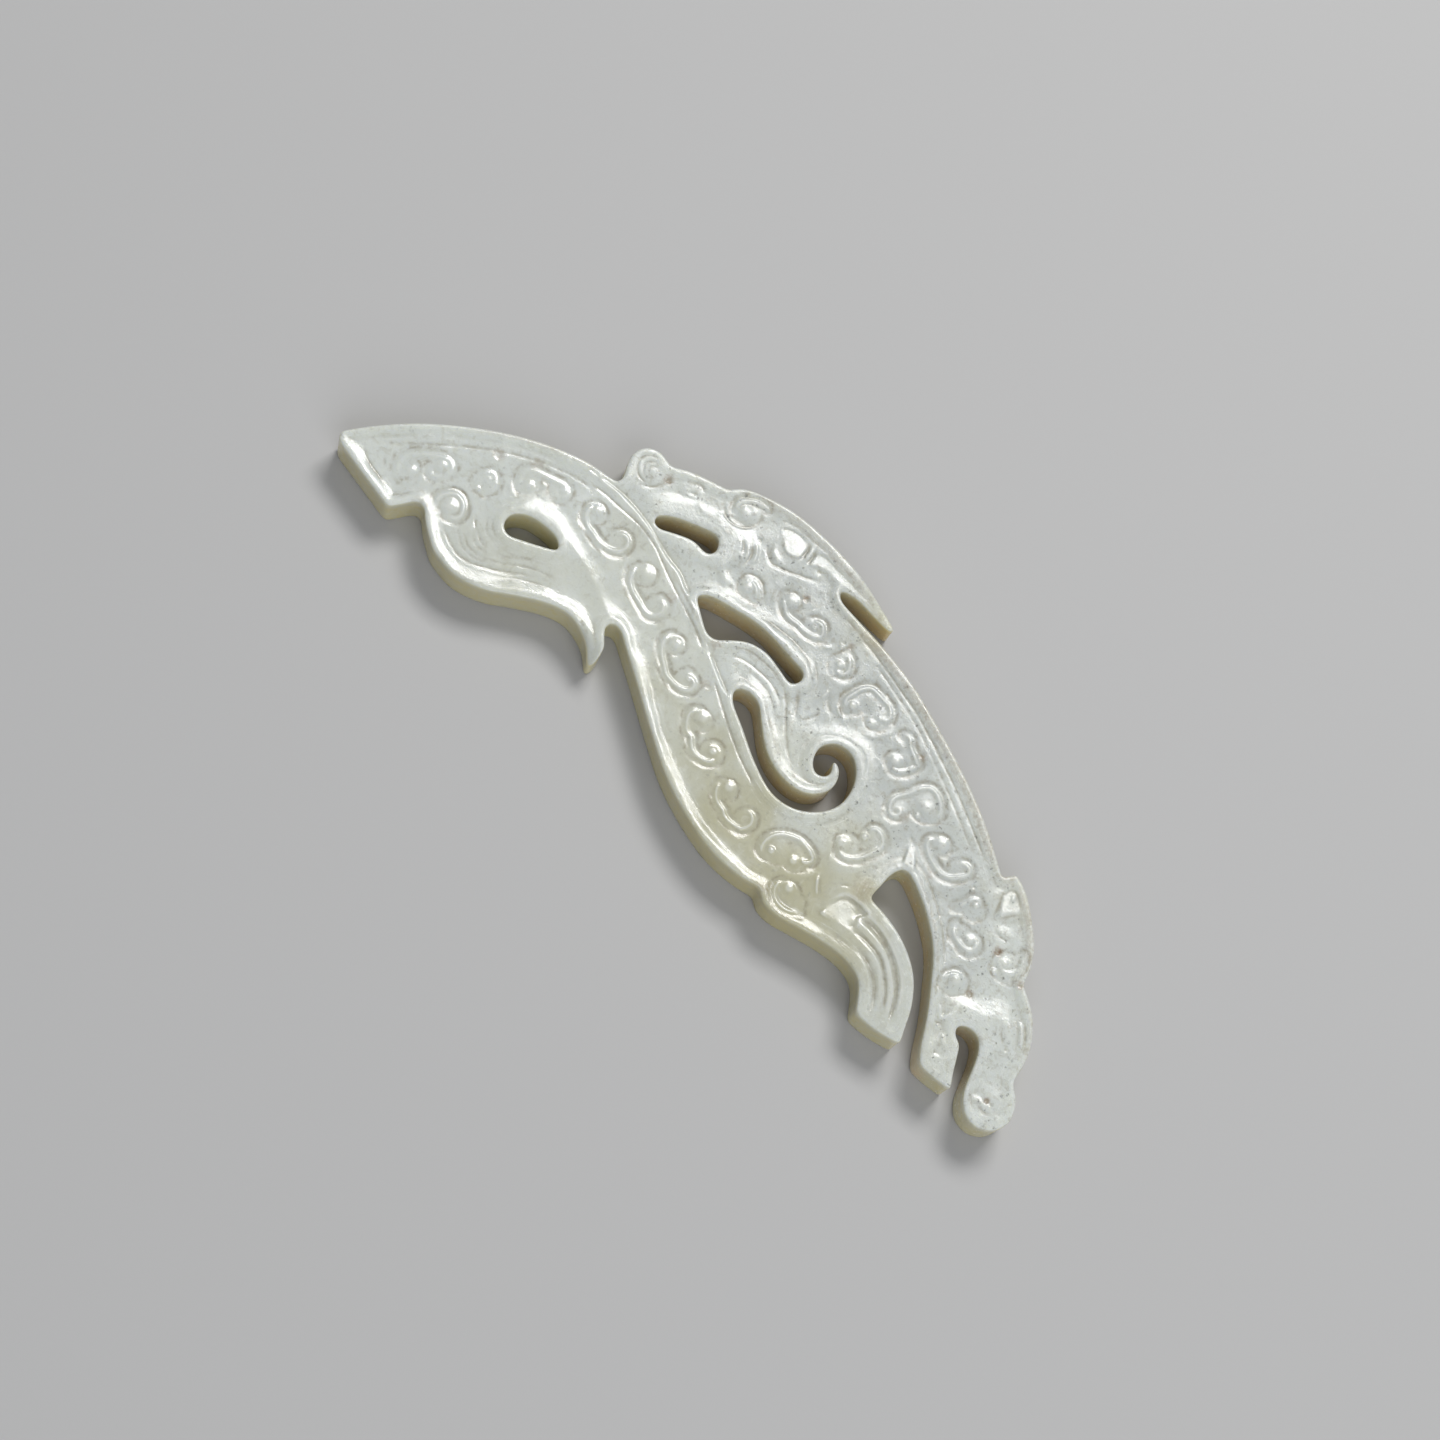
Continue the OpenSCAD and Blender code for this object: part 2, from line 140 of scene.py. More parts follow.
# Scrolls: ridge line, knobs (x, y, radius), hollows round them (x, y, radius), second line outside the ridge
WORN = 3  # the first scrolls, by the tail, are worn flatter
SCROLLS = [
    ([(-43.4, 5.8), (-42.8, 5.3), (-42.1, 5.7), (-41.7, 6.6), (-41.8, 7.5), (-42.5, 8.0), (-43.4, 7.7),
      (-44.6, 6.8), (-45.6, 5.8), (-46.2, 4.9), (-46.3, 4.0), (-45.9, 3.1), (-45.2, 2.3)],
      [(-42.7, 7.0, 0.7), (-44.7, 4.0, 0.55)], [(-42.5, 7.1, 1.9), (-44.9, 4.0, 1.6)], []),
    ([(-38.9, 9.2), (-38.9, 10.1), (-38.3, 10.7), (-37.5, 10.3), (-37.1, 9.5), (-37.4, 8.6)],
      [(-38.0, 9.9, 0.6), (-38.2, 8.2, 0.3)], [(-38.1, 9.3, 1.95)], []),
    ([(-31.4, 14.2), (-31.1, 14.9), (-31.3, 15.7), (-32.1, 15.9), (-33.2, 15.5), (-34.4, 15.0),
      (-35.3, 14.6), (-35.9, 14.1), (-36.2, 13.5), (-36.0, 12.8), (-35.7, 12.3), (-35.2, 11.9)],
      [(-34.7, 12.9, 0.55), (-31.6, 15.5, 0.45)], [(-31.8, 15.1, 1.8), (-34.8, 12.9, 1.75)], [(-36.3, 11.8),
      (-35.7, 11.1), (-35.0, 10.8)]),
    ([(-28.0, 17.0), (-28.2, 16.4), (-28.1, 15.8), (-27.8, 15.3), (-27.3, 14.9), (-26.6, 14.6),
      (-25.7, 14.5), (-24.8, 14.3), (-23.9, 14.4), (-23.0, 14.7), (-22.3, 15.3), (-22.1, 16.1),
      (-22.4, 16.8), (-23.0, 17.1), (-23.6, 16.9), (-23.9, 16.4)], [(-27.4, 16.9, 0.62)],
      [(-27.3, 16.4, 1.75), (-23.0, 16.1, 1.85)], [(-28.3, 13.9), (-27.2, 14.0), (-26, 14.0), (-24, 13.8),
      (-22.8, 13.5)]),
    ([(-19.5, 15.6), (-19.6, 15.1), (-19.4, 14.5), (-19.0, 13.9), (-18.4, 13.45), (-17.8, 13.2),
      (-17.0, 13.0), (-16.2, 12.8), (-15.4, 12.6), (-14.6, 12.7), (-14.1, 13.2), (-13.95, 14.0),
      (-14.3, 14.6), (-15.1, 14.95)], [(-18.4, 15.9, 0.9)], [(-18.4, 15.6, 1.8), (-14.6, 14.1, 1.85)],
      [(-19.4, 13.2), (-18.5, 12.8), (-17.5, 12.4), (-16.3, 12.0), (-14.9, 11.8)]),
    ([(-11.2, 12.9), (-11.4, 12.3), (-11.3, 11.7), (-10.9, 11.1), (-10.5, 10.7), (-10.0, 10.3), (-9.3, 9.9),
      (-8.5, 9.4), (-7.5, 9.2), (-6.4, 9.3), (-5.6, 9.7), (-5.2, 10.3), (-5.4, 10.9), (-6.1, 11.1),
      (-6.8, 11.25)], [(-10.1, 12.7, 0.7), (-6.3, 10.9, 0.35)], [(-10.2, 12.5, 1.65), (-6.2, 10.5, 1.85)],
      [(-11.2, 10.5), (-10.5, 9.8), (-9.5, 9.3), (-8, 8.75), (-6.5, 8.3)]),
    ([(-2.7, 9.2), (-3.2, 8.7), (-3.3, 8.1), (-3.0, 7.5), (-2.5, 6.9), (-1.9, 6.45), (-1.2, 6.35),
      (-0.6, 5.8), (0, 5.45), (0.7, 5.35), (1.4, 5.5), (2.0, 5.8), (2.4, 6.4), (2.5, 7.0)],
      [(-1.95, 8.9, 0.75), (1.65, 7.1, 0.5)], [(-1.8, 8.6, 1.7), (1.6, 7.0, 1.8)], [(-3.2, 6.8), (-2.5, 6.3),
      (-1.7, 5.7), (-0.9, 5.2), (0, 4.95), (1, 4.95)]),
    ([(4.9, 5.3), (4.85, 4.7), (5.1, 4.2), (5.5, 3.75), (6.0, 3.45), (6.6, 3.3), (7.2, 3.2), (7.7, 2.95),
      (8.4, 2.85), (9.2, 2.95), (9.9, 3.2), (10.3, 3.8), (10.4, 4.4), (10.1, 5.0), (9.5, 5.25), (9.1, 4.9)],
      [(5.75, 5.6, 0.7)], [(5.9, 5.2, 1.6), (9.6, 4.4, 1.75)], [(4.6, 3.3), (5.5, 3.05), (6.5, 2.85),
      (8.0, 2.5), (9.9, 2.4)]),
    ([(13.9, 3.25), (13.4, 3.25), (13.05, 3.6), (12.85, 4.2), (12.9, 5.0), (13.1, 5.6), (13.5, 6.2),
      (14.1, 6.7), (14.8, 7.1), (15.5, 7.35), (16.4, 7.35), (17.3, 7.2), (17.9, 6.8), (17.8, 6.2),
      (17.4, 5.85), (16.8, 5.95)], [(14.05, 4.05, 0.4), (16.6, 5.1, 0.5)], [(14.5, 4.6, 2.0),
      (16.5, 5.5, 2.0)], [(17.9, 4.1), (18.6, 4.7), (19.1, 5.6), (19.3, 6.5)]),
    ([(17.7, 2.5), (17.3, 2.1), (17.3, 1.6), (17.6, 1.1), (18.1, 0.7), (18.7, 0.5), (19.4, 0.5),
      (20.0, 0.65), (20.6, 0.95), (21.2, 1.4)], [(18.4, 2.6, 0.6)], [(18.7, 2.2, 1.75), (20.2, 2.0, 1.4)],
      [(17.0, 0.6), (17.5, 0.2), (18.3, 0.0)]),
    ([(18.9, 10.2), (19.3, 9.8), (19.9, 9.7), (20.5, 10.0), (21.1, 10.6), (21.5, 11.3), (21.8, 12.2),
      (22.1, 13.1), (22.0, 13.9), (21.5, 14.5), (20.8, 14.7), (20.2, 14.6), (20.0, 14.2), (20.4, 13.9)],
      [(18.8, 10.7, 0.7), (20.0, 13.1, 0.4)], [(19.3, 10.9, 1.85), (20.7, 13.5, 1.8)], [(18.6, 8.8),
      (19.1, 8.4), (19.7, 8.1)]),
    ([(-6.0, 26.1), (-5.7, 25.5), (-5.0, 25.0), (-4.4, 24.65), (-3.6, 24.6), (-2.8, 24.75), (-1.9, 24.75),
      (-0.9, 24.95), (-0.2, 25.3), (0.1, 25.8), (-0.2, 26.4), (-0.8, 26.8), (-1.4, 26.6), (-1.8, 26.1)],
      [(-5.1, 26.2, 0.8), (-1.2, 26.0, 0.35)], [(-5.1, 26.0, 1.6), (-1.2, 25.9, 1.7)], [(-3.2, 24.0),
      (-1.7, 23.95), (-0.6, 24.1), (0.1, 24.7)]),
    ([(3.6, 26.6), (4.3, 26.3), (4.8, 25.8), (5.1, 25.2), (5.0, 24.6), (4.5, 24.3), (3.9, 24.4)],
      [(3.9, 25.1, 0.4), (2.6, 26.7, 0.3)], [(4.2, 25.1, 1.95)], [(3.3, 24.1), (3.9, 23.7), (4.7, 23.55)]),
    ([(8.2, 22.0), (7.5, 22.4), (7.25, 23.0), (7.35, 23.7), (7.5, 24.5), (7.8, 25.3), (8.4, 25.9),
      (9.3, 26.0), (10.3, 25.95), (11.2, 25.9), (11.9, 25.4), (12.2, 24.8), (11.9, 24.3), (11.3, 24.0)],
      [(8.3, 22.8, 0.5), (11.2, 22.9, 0.45)], [(8.3, 23.0, 1.6), (11.2, 23.9, 1.95), (9.4, 24.6, 1.7)], []),
    ([(14.8, 24.8), (15.4, 25.0), (16.0, 24.5), (16.8, 24.1), (17.6, 23.8), (18.2, 23.4), (18.1, 22.8),
      (17.8, 22.1), (17.3, 21.4), (16.7, 21.1), (16.0, 21.3)], [(16.2, 21.9, 0.68)], [(16.3, 21.9, 1.75),
      (17.0, 23.2, 1.6)], [(15.3, 20.7), (15.8, 20.2), (16.4, 19.8)]),
    ([(20.1, 18.1), (20.5, 18.3), (20.75, 17.9), (20.6, 17.4), (20.1, 17.2), (19.6, 17.5), (19.2, 18.1),
      (19.1, 18.8), (19.4, 19.6), (19.8, 20.4), (20.1, 21.3), (20.5, 22.1), (21.1, 22.7), (21.9, 22.8),
      (22.7, 22.5), (23.4, 22.0), (23.9, 21.3), (23.7, 20.5)], [(22.4, 20.6, 0.7), (22.3, 19.3, 0.3)],
      [(22.3, 20.7, 2.2), (20.2, 18.4, 1.6)], [(18.8, 17.0), (19.4, 16.9), (20.0, 16.8)]),
    ([(25.6, 19.0), (25.2, 18.3), (25.4, 17.8), (25.9, 17.4), (26.6, 17.05), (27.3, 16.85), (28.2, 16.65),
      (28.9, 16.7), (29.6, 17.0), (30.2, 17.6), (30.7, 18.3), (30.9, 18.9), (30.6, 19.4), (29.9, 19.4),
      (29.5, 19.0)], [(26.5, 19.1, 0.8)], [(26.5, 18.9, 1.7), (30.0, 18.5, 1.8)], []),
    ([(34.2, 17.2), (33.6, 17.5), (33.2, 17.1), (33.0, 16.4), (32.8, 15.7), (32.6, 15.2)],
      [(34.0, 17.0, 0.35)], [(34.2, 16.5, 1.7)], []),
    ([(36.8, 14.2), (37.2, 13.8), (37.3, 13.3), (37.0, 12.8), (36.4, 12.55), (35.6, 12.6), (34.9, 12.75),
      (34.3, 13.1), (33.9, 13.7)], [(36.3, 13.7, 0.5)], [(36.5, 13.3, 1.95), (35.0, 13.7, 1.3)], []),
    ([(41.6, 16.9), (42.1, 16.3), (42.35, 15.5), (42.2, 14.7), (41.7, 14.2), (41.1, 14.0), (40.5, 14.3),
      (40.6, 15.0)], [(40.8, 14.7, 0.5), (40.6, 13.2, 0.35)], [(41.2, 14.6, 2.15)], []),
    ([(38.9, 9.9), (38.1, 9.9), (37.5, 9.3), (37.4, 8.6), (37.6, 8.0)], [(38.3, 9.3, 0.75)],
      [(38.4, 9.0, 2.0)], []),
    ([(-15.0, 31.8), (-15.9, 31.5), (-16.6, 31.1), (-17.2, 30.5), (-17.5, 29.9), (-17.4, 29.3),
      (-17.0, 28.8)], [(-16.0, 29.6, 0.8)], [(-16.1, 29.7, 2.1)], [(-17.4, 28.3), (-16.9, 28.2),
      (-16.3, 28.25)]),
    ([(-10.2, 24.25), (-9.4, 24.25), (-8.8, 24.05), (-8.3, 23.6), (-8.1, 23.1)], [(-9.6, 23.5, 0.6)],
      [(-9.4, 23.5, 1.75)], []),
    ([(-39.9, 3.1), (-40.2, 4.2), (-39.9, 5.2), (-39.1, 5.9), (-38.1, 5.85), (-37.3, 5.2), (-37.0, 4.4),
      (-37.3, 3.7), (-38.0, 3.4)], [(-38.6, 4.4, 0.8)], [(-38.6, 4.5, 1.7)], []),
]

# Engraved lines: half width, depth, points
LINES = [
    # band: line inside the upper rim
    (0.24, 0.07, [(-49.6, 3.2), (-45.6, 7.6), (-41.4, 11.8), (-37, 15.1), (-32.8, 17.3), (-29, 18.3)]),
    (0.20, 0.12, [(-31, 18.2), (-28.5, 18.8), (-26, 19.0), (-23, 19.2), (-20, 18.8), (-18.3, 18.2),
      (-15.5, 17.2), (-13.5, 16.6), (-10.5, 15.7), (-9, 15.1), (-7, 14.0)]),
    (0.20, 0.12, [(-5.0, 13.3), (-3.4, 12.5), (-1.5, 11.5), (0, 10.75), (2, 9.8), (5, 8.55), (8, 7.7)]),
    (0.18, 0.08, [(-16.0, 18.0), (-13.6, 17.3), (-11, 16.5), (-8.8, 15.6)]),
    # tail: inset lines
    (0.20, 0.10, [(-50.4, 2.5), (-49.8, 1.7), (-48.8, 1.2), (-47.2, 0.9), (-45.4, 0.6), (-44.2, 0.5)]),
    (0.20, 0.10, [(-43.9, 0.3), (-43.0, 1.3), (-42.6, 2.4)]),
    (0.18, 0.08, [(-47.7, 2.7), (-47.2, 2.4), (-46.9, 2.0)]),
    (0.18, 0.06, [(-43.4, 3.9), (-43.1, 3.2), (-43.1, 2.4)]),
    # arch: double line along the top
    (0.20, 0.12, [(-0.4, 29.6), (3.0, 29.3), (6.5, 28.9), (10, 28.4), (13.5, 27.8), (17, 26.8), (20, 25.85),
      (23, 24.85), (26, 23.65), (29, 22.4), (31.6, 21.3)]),
    (0.18, 0.08, [(6, 28.3), (10, 27.7), (14, 26.9), (17, 26.0), (20, 24.95), (23, 23.8), (26, 22.55),
      (28.5, 21.5), (30, 20.9)]),
    # long slot: lines along its upper rim
    (0.20, 0.10, [(-7.4, 21.4), (-6.2, 21.9), (-5.3, 22.4), (-3.3, 22.8), (-1, 23.0), (1.2, 22.7),
      (2.2, 22.0), (3.3, 21.3)]),
    (0.18, 0.08, [(1.0, 23.2), (2.0, 22.9), (2.9, 22.3), (4.1, 21.4)]),
    # grooves beside the leaf
    (0.40, 0.20, [(2.2, 19.2), (3.0, 19.0), (3.6, 18.5), (4.2, 17.8), (4.8, 16.9), (5.1, 16.2)]),
    (0.28, 0.14, [(5.7, 22.2), (5.8, 21.5), (6.3, 20.8), (7.0, 20.4), (8.0, 20.3)]),
    (0.22, 0.08, [(5.6, 19.6), (6.3, 19.2), (6.1, 18.0), (5.4, 16.8)]),
    # leaf
    (0.20, 0.12, [(-6.2, 16.4), (-5.5, 17.4), (-4.6, 18.1), (-3.6, 18.5), (-2.2, 18.65), (-0.8, 18.7),
      (0.6, 18.55), (1.9, 18.1), (3.0, 17.3), (4.3, 16.0), (6.0, 14.4), (7.6, 13.2), (9, 12.6)]),
    (0.20, 0.12, [(-5.6, 16.1), (-4.5, 16.8), (-3.1, 17.3), (-1.8, 17.5), (-0.4, 17.6), (1.0, 17.4),
      (2.4, 16.8), (3.5, 15.9)]),
    (0.18, 0.08, [(-3.2, 16.5), (-1.5, 16.75), (-0.2, 16.7), (1.2, 16.4), (2.6, 15.7), (3.8, 14.8)]),
    (0.18, 0.08, [(-3.9, 15.9), (-2.9, 15.6), (-1.6, 15.7), (-0.2, 15.8), (1.0, 15.6), (2.2, 15.0),
      (4.0, 13.9), (5.6, 13.0), (7.2, 12.4)]),
    # leg: rims along the gap between leg and claw
    (0.18, 0.08, [(26.4, 15.5), (28.4, 14.9), (30.5, 14.0), (33, 12.4), (35, 10.9), (36.3, 9.6)]),
    (0.18, 0.07, [(26, 14.9), (28, 14.2), (30.0, 13.3), (31.9, 12.1), (33.5, 11.0), (35.6, 9.1), (37.2, 7.4),
      (38.6, 5.6)]),
    (0.18, 0.10, [(32.9, 13.3), (34, 12.3), (35, 11.5), (35.8, 11.2)]),
    # jaw and leg marks
    (0.18, 0.10, [(37.4, 7.0), (37.8, 6.6), (38.2, 6.2)]),
    (0.18, 0.08, [(39.4, 4.2), (40.1, 4.3), (40.9, 4.6)]),
    # ear
    (0.24, 0.16, [(34.5, 21.4), (35.1, 20.3), (35.7, 19.1), (36.1, 18.0), (36.6, 17.1)]),
    (0.20, 0.12, [(38.4, 20.4), (37.8, 19.5), (37.3, 18.7), (36.8, 18.0)]),
    (0.20, 0.10, [(37.0, 17.1), (37.6, 16.6), (38.4, 16.5), (39.2, 16.8), (39.7, 17.4)]),
    # right head: eye
    (0.24, 0.14, [(45.0, 10.2), (45.5, 9.5), (46.0, 8.8), (46.7, 8.3), (47.5, 7.9)]),
    (0.24, 0.12, [(46.1, 11.9), (47.3, 11.4), (48.3, 10.4), (48.9, 9.5), (49.0, 8.7)]),
    (0.18, 0.06, [(43.6, 14.3), (42.9, 13.4), (42.3, 12.6)]),
    # snout
    (0.26, 0.12, [(51.9, 2.4), (51.3, 1.4), (50.8, 1.1), (50.0, 1.2), (49.4, 1.6)]),
    (0.24, 0.08, [(47.9, 2.4), (48.2, 1.6), (48.9, 0.9), (49.8, 0.4)]),
    # upper head: nose, mouth, brow, hair
    (0.22, 0.15, [(-25.3, 26.6), (-24.8, 25.6), (-24.9, 24.6), (-25.3, 23.7), (-26.2, 22.9), (-27.4, 22.7)]),
    (0.20, 0.15, [(-26.3, 26.4), (-27.6, 26.3), (-28.6, 25.5), (-28.7, 24.6), (-28.2, 23.7), (-27.2, 23.2),
      (-26.1, 23.4), (-25.5, 24.1)]),
    (0.18, 0.12, [(-26.0, 25.9), (-27.0, 25.9), (-27.8, 25.3), (-27.9, 24.5), (-27.3, 23.9), (-26.5, 23.8),
      (-25.9, 24.3)]),
    (0.18, 0.10, [(-26.0, 25.3), (-26.6, 25.5), (-27.2, 25.1), (-27.2, 24.5), (-26.7, 24.3), (-26.3, 24.7)]),
    (0.22, 0.10, [(-22.8, 27.0), (-22.3, 27.7), (-21.5, 27.8), (-20.8, 27.1)]),
    (0.20, 0.10, [(-22.3, 26.2), (-21.7, 26.5), (-21.1, 26.9)]),
    (0.20, 0.14, [(-18.9, 28.9), (-18.4, 28.2), (-17.6, 27.6), (-16.8, 27.35), (-16, 27.5), (-15.1, 28.0),
      (-14.5, 28.8), (-14.3, 29.6)]),
    (0.22, 0.14, [(-14.3, 27.0), (-13.6, 26.7), (-13.1, 26.1), (-13.0, 25.5)]),
    (0.22, 0.14, [(-13.1, 27.5), (-12.4, 26.9), (-12.0, 26.2), (-11.9, 25.3), (-12.1, 24.6)]),
    (0.24, 0.18, [(-8.6, 32.7), (-8.3, 32.0), (-8.15, 31.2), (-8.1, 30.5)]),
    (0.24, 0.18, [(-7.8, 32.8), (-7.3, 32.0), (-7.15, 31.2), (-7.2, 30.4)]),
    (0.26, 0.14, [(-12.1, 29.3), (-11.5, 28.5), (-10.6, 27.8), (-9.8, 27.6), (-9.0, 27.9), (-8.0, 28.3),
      (-7.0, 28.9), (-6.0, 29.4), (-5.0, 30.0), (-4.2, 30.2)]),
    (0.18, 0.07, [(-11.5, 29.6), (-11.0, 28.6), (-10.2, 28.0), (-9.3, 28.0)]),
    (0.20, 0.14, [(-11.2, 24.0), (-10.6, 24.8), (-9.8, 25.2), (-8.8, 25.1), (-7.9, 24.5), (-7.3, 23.8),
      (-6.9, 22.9)]),
    (0.18, 0.08, [(-7.4, 26.5), (-7.2, 25.5), (-6.9, 24.5), (-6.2, 23.9)]),
    # crown: inner boundary of the bevel
    (0.22, 0.06, [(-10.8, 33.1), (-8, 33.2), (-6, 33.3), (-3, 33.4), (0, 33.2), (2.4, 32.9)]),
    # wing: hair lines
    (0.20, 0.09, [(-35.8, 5.8), (-35.3, 5.2), (-34.6, 4.6)]),
    (0.20, 0.09, [(-34.6, 5.0), (-33.8, 4.4), (-32.9, 4.1), (-32.2, 4.3)]),
    (0.18, 0.07, [(-34.8, 4.4), (-33.9, 3.7), (-33.0, 3.5), (-31.8, 3.8)]),
    (0.18, 0.07, [(-35.6, 4.0), (-34.6, 3.1), (-33.5, 2.7), (-32, 2.9), (-30.6, 3.7)]),
    (0.22, 0.10, [(-38, 2.3), (-37, 2.0), (-36, 1.7), (-35.2, 1.4), (-33.6, 1.2), (-32, 1.7), (-30.5, 2.6),
      (-29, 3.7), (-27.6, 5.0), (-26.3, 5.9)]),
    (0.18, 0.06, [(-29.6, 4.6), (-28.0, 5.9), (-26.0, 7.0), (-24.0, 7.6)]),
    (0.18, 0.06, [(-31.2, 5.3), (-29.6, 5.9), (-28.0, 7.0), (-26.2, 7.9)]),
    (0.16, 0.06, [(-34.9, 6.9), (-34.1, 5.8), (-33.2, 5.3), (-32.1, 5.4)]),
    (0.16, 0.05, [(-34.3, 7.2), (-33.6, 6.3), (-32.8, 6.0), (-32.0, 6.1)]),
    (0.16, 0.06, [(-36.7, 4.2), (-35.7, 3.0), (-34.0, 2.2), (-32.3, 2.3), (-30.6, 3.1)]),
    (0.16, 0.05, [(-31.7, 4.4), (-30.3, 5.0), (-28.9, 6.2), (-27.4, 7.6)]),
    (0.16, 0.05, [(-31.9, 3.2), (-30.2, 4.0), (-28.5, 5.4), (-26.9, 6.6)]),
    (0.16, 0.05, [(-28.4, 3.4), (-26.6, 4.9), (-24.6, 6.0), (-22.6, 6.6)]),
    (0.20, 0.08, [(-20.7, 6.5), (-19.5, 6.4), (-18.3, 6.1), (-17.3, 5.5), (-16.6, 5.1)]),
    (0.22, 0.08, [(-40.8, 4.6), (-40.5, 5.7), (-39.8, 6.4), (-38.8, 6.7), (-37.9, 6.5), (-37.2, 5.9),
      (-36.8, 5.0)]),
    # foot: slope marks beside the claw
    (0.22, 0.10, [(19.8, 6.2), (20.6, 5.2), (21.6, 4.3)]),
    (0.20, 0.08, [(21.8, 7.0), (22.4, 7.5), (23.0, 8.0)]),
    (0.18, 0.08, [(25.0, 2.95), (26.4, 2.85), (28.0, 3.0)]),
    (0.18, 0.06, [(25.0, 2.5), (26.4, 2.4), (27.6, 2.5)]),
]

# Boundaries between the cells of the ground: thin raised lines
SEAMS = [
    [(10.9, 5.9), (11.5, 5.0), (11.6, 4.0), (11.7, 3.2), (11.2, 2.4), (10.2, 1.5)],
    [(11.7, 3.2), (12.1, 2.4), (12.9, 1.8)],
    [(3.2, 8.3), (3.8, 7.3), (3.9, 6.4), (3.6, 5.3), (3.2, 4.5), (2.5, 3.9)],
    [(-21.0, 16.0), (-20.9, 14.8), (-20.6, 14.0), (-20.0, 13.1)],
    [(-12.6, 14.1), (-12.6, 13.2), (-13.0, 12.3), (-13.5, 11.6)],
    [(-4.1, 10.5), (-4.2, 9.6), (-4.4, 8.7), (-5.0, 8.0), (-5.8, 7.6)],
    [(5.6, 26.9), (6.2, 26.2), (6.4, 25.3), (6.3, 24.4), (5.9, 23.6), (5.5, 22.8)],
    [(13.3, 24.5), (13.4, 23.6), (13.1, 22.8), (12.7, 22.1), (12.0, 21.6), (11.2, 21.4)],
    [(19.0, 24.0), (19.2, 23.0), (19.0, 22.0)],
    [(37.2, 15.0), (37.9, 14.6), (38.4, 13.9), (38.6, 13.2), (38.3, 12.3), (37.7, 11.6)],
]

# Raised ridges: half width, height, points
RIDGES = [
    (0.85, 0.15, [(-14.2, 26.2), (-13.7, 25.4), (-13.5, 24.5), (-13.4, 23.5), (-13.0, 22.7), (-12.0, 22.1),
      (-11.0, 21.9)]),
    (0.36, 0.10, [(-17.4, 29.2), (-17.5, 29.9), (-17.2, 30.5), (-16.6, 31.1), (-15.9, 31.5), (-15.0, 31.75),
      (-14.1, 31.7)]),
    (0.36, 0.12, [(-20.5, 26.2), (-19.4, 25.8), (-18.6, 26.1), (-17.2, 26.3), (-16.0, 26.2), (-15.2, 26.2)]),
    (0.30, 0.08, [(-18.3, 27.0), (-17.5, 26.8)]),
    (0.50, 0.10, [(-11.0, 29.0), (-10.3, 28.6), (-9.6, 28.4), (-9.0, 28.4)]),
    (0.30, 0.10, [(-8.2, 32.6), (-7.8, 32.0), (-7.65, 31.2), (-7.6, 30.6)]),
    (0.34, 0.10, [(-13.3, 27.3), (-12.8, 26.7), (-12.4, 26.1), (-12.4, 25.2)]),
    (0.34, 0.09, [(-12.9, 28.1), (-12.2, 27.5), (-11.7, 26.9), (-11.4, 26.2), (-11.5, 25.5)]),
    (0.32, 0.08, [(-23.6, 27.4), (-22.7, 28.2), (-21.6, 28.5), (-20.7, 28.1)]),
    # tongue between the scrolls over the leaf
    (0.34, 0.10, [(5.2, 22.2), (5.3, 21.3), (5.3, 20.4)]),
    (0.32, 0.08, [(7.0, 21.6), (7.8, 21.1), (8.6, 20.8)]),
    (0.30, 0.07, [(1.2, 24.9), (1.6, 25.5), (2.0, 26.0)]),
    # foot, leg and jaw
    (0.36, 0.12, [(19.5, 6.2), (20.3, 5.2), (21.3, 4.2)]),
    (0.42, 0.14, [(41.8, 7.7), (41.1, 6.7), (40.1, 5.1), (39.3, 5.8), (38.7, 6.3)]),
    (0.34, 0.10, [(41.4, 4.1), (42.0, 3.4), (42.8, 2.9)]),
    (0.60, 0.15, [(41.2, 2.3), (42.0, 1.2), (42.8, 0.3)]),
    (0.40, 0.10, [(36.0, 21.4), (36.3, 20.8), (36.6, 20.2)]),
    # eye lid, eyeball's rim
    (0.36, 0.12, [(46.2, 11.5), (47.1, 10.9), (47.8, 10.2), (48.3, 9.5), (48.5, 8.8)]),
    (0.50, 0.10, [(45.8, 10.5), (46.3, 9.9), (46.8, 9.2), (47.3, 8.5)]),
    # claw: ridges along the curve
    (0.55, 0.13, [(25.2, 7.2), (28.5, 7.25), (30.3, 6.85), (32.3, 6.1), (34.0, 5.1), (35.0, 4.2),
      (36.2, 2.4)]),
    (0.55, 0.15, [(26.3, 5.5), (28.0, 5.5), (30.0, 5.4), (31.0, 5.2), (32.0, 4.6), (33.0, 3.9), (34.3, 2.9),
      (35.4, 1.4), (36.0, -0.2)]),
    (0.50, 0.14, [(29.2, 4.3), (30.5, 4.0), (31.5, 3.7), (32.5, 3.1), (33.3, 2.5), (34.2, 1.6), (34.8, 0.7),
      (35.0, -0.3)]),
    (0.75, 0.14, [(28.5, 2.4), (30.0, 2.4), (31.0, 2.0), (32.0, 1.2), (32.9, 0.2), (33.6, -0.9)]),
]

# Claw grooves: half width, depth, points
GROOVES = [
    (0.60, 0.24, [(25.8, 6.15), (26.7, 6.3), (27.6, 6.45), (29.4, 6.35), (31.0, 5.85), (32.8, 5.0),
      (33.9, 4.2), (35.0, 3.0), (36.0, 1.2), (36.5, 0.2)]),
    (0.45, 0.16, [(26.2, 4.5), (27.4, 4.75), (30.2, 4.75), (31.4, 4.4), (32.6, 3.6), (34.0, 2.3),
      (34.9, 1.0), (35.4, -0.2)]),
    (0.45, 0.14, [(28.0, 3.5), (29.6, 3.4), (31.0, 3.0), (32.2, 2.3), (33.2, 1.4), (34.0, 0.3),
      (34.5, -0.8)]),
]

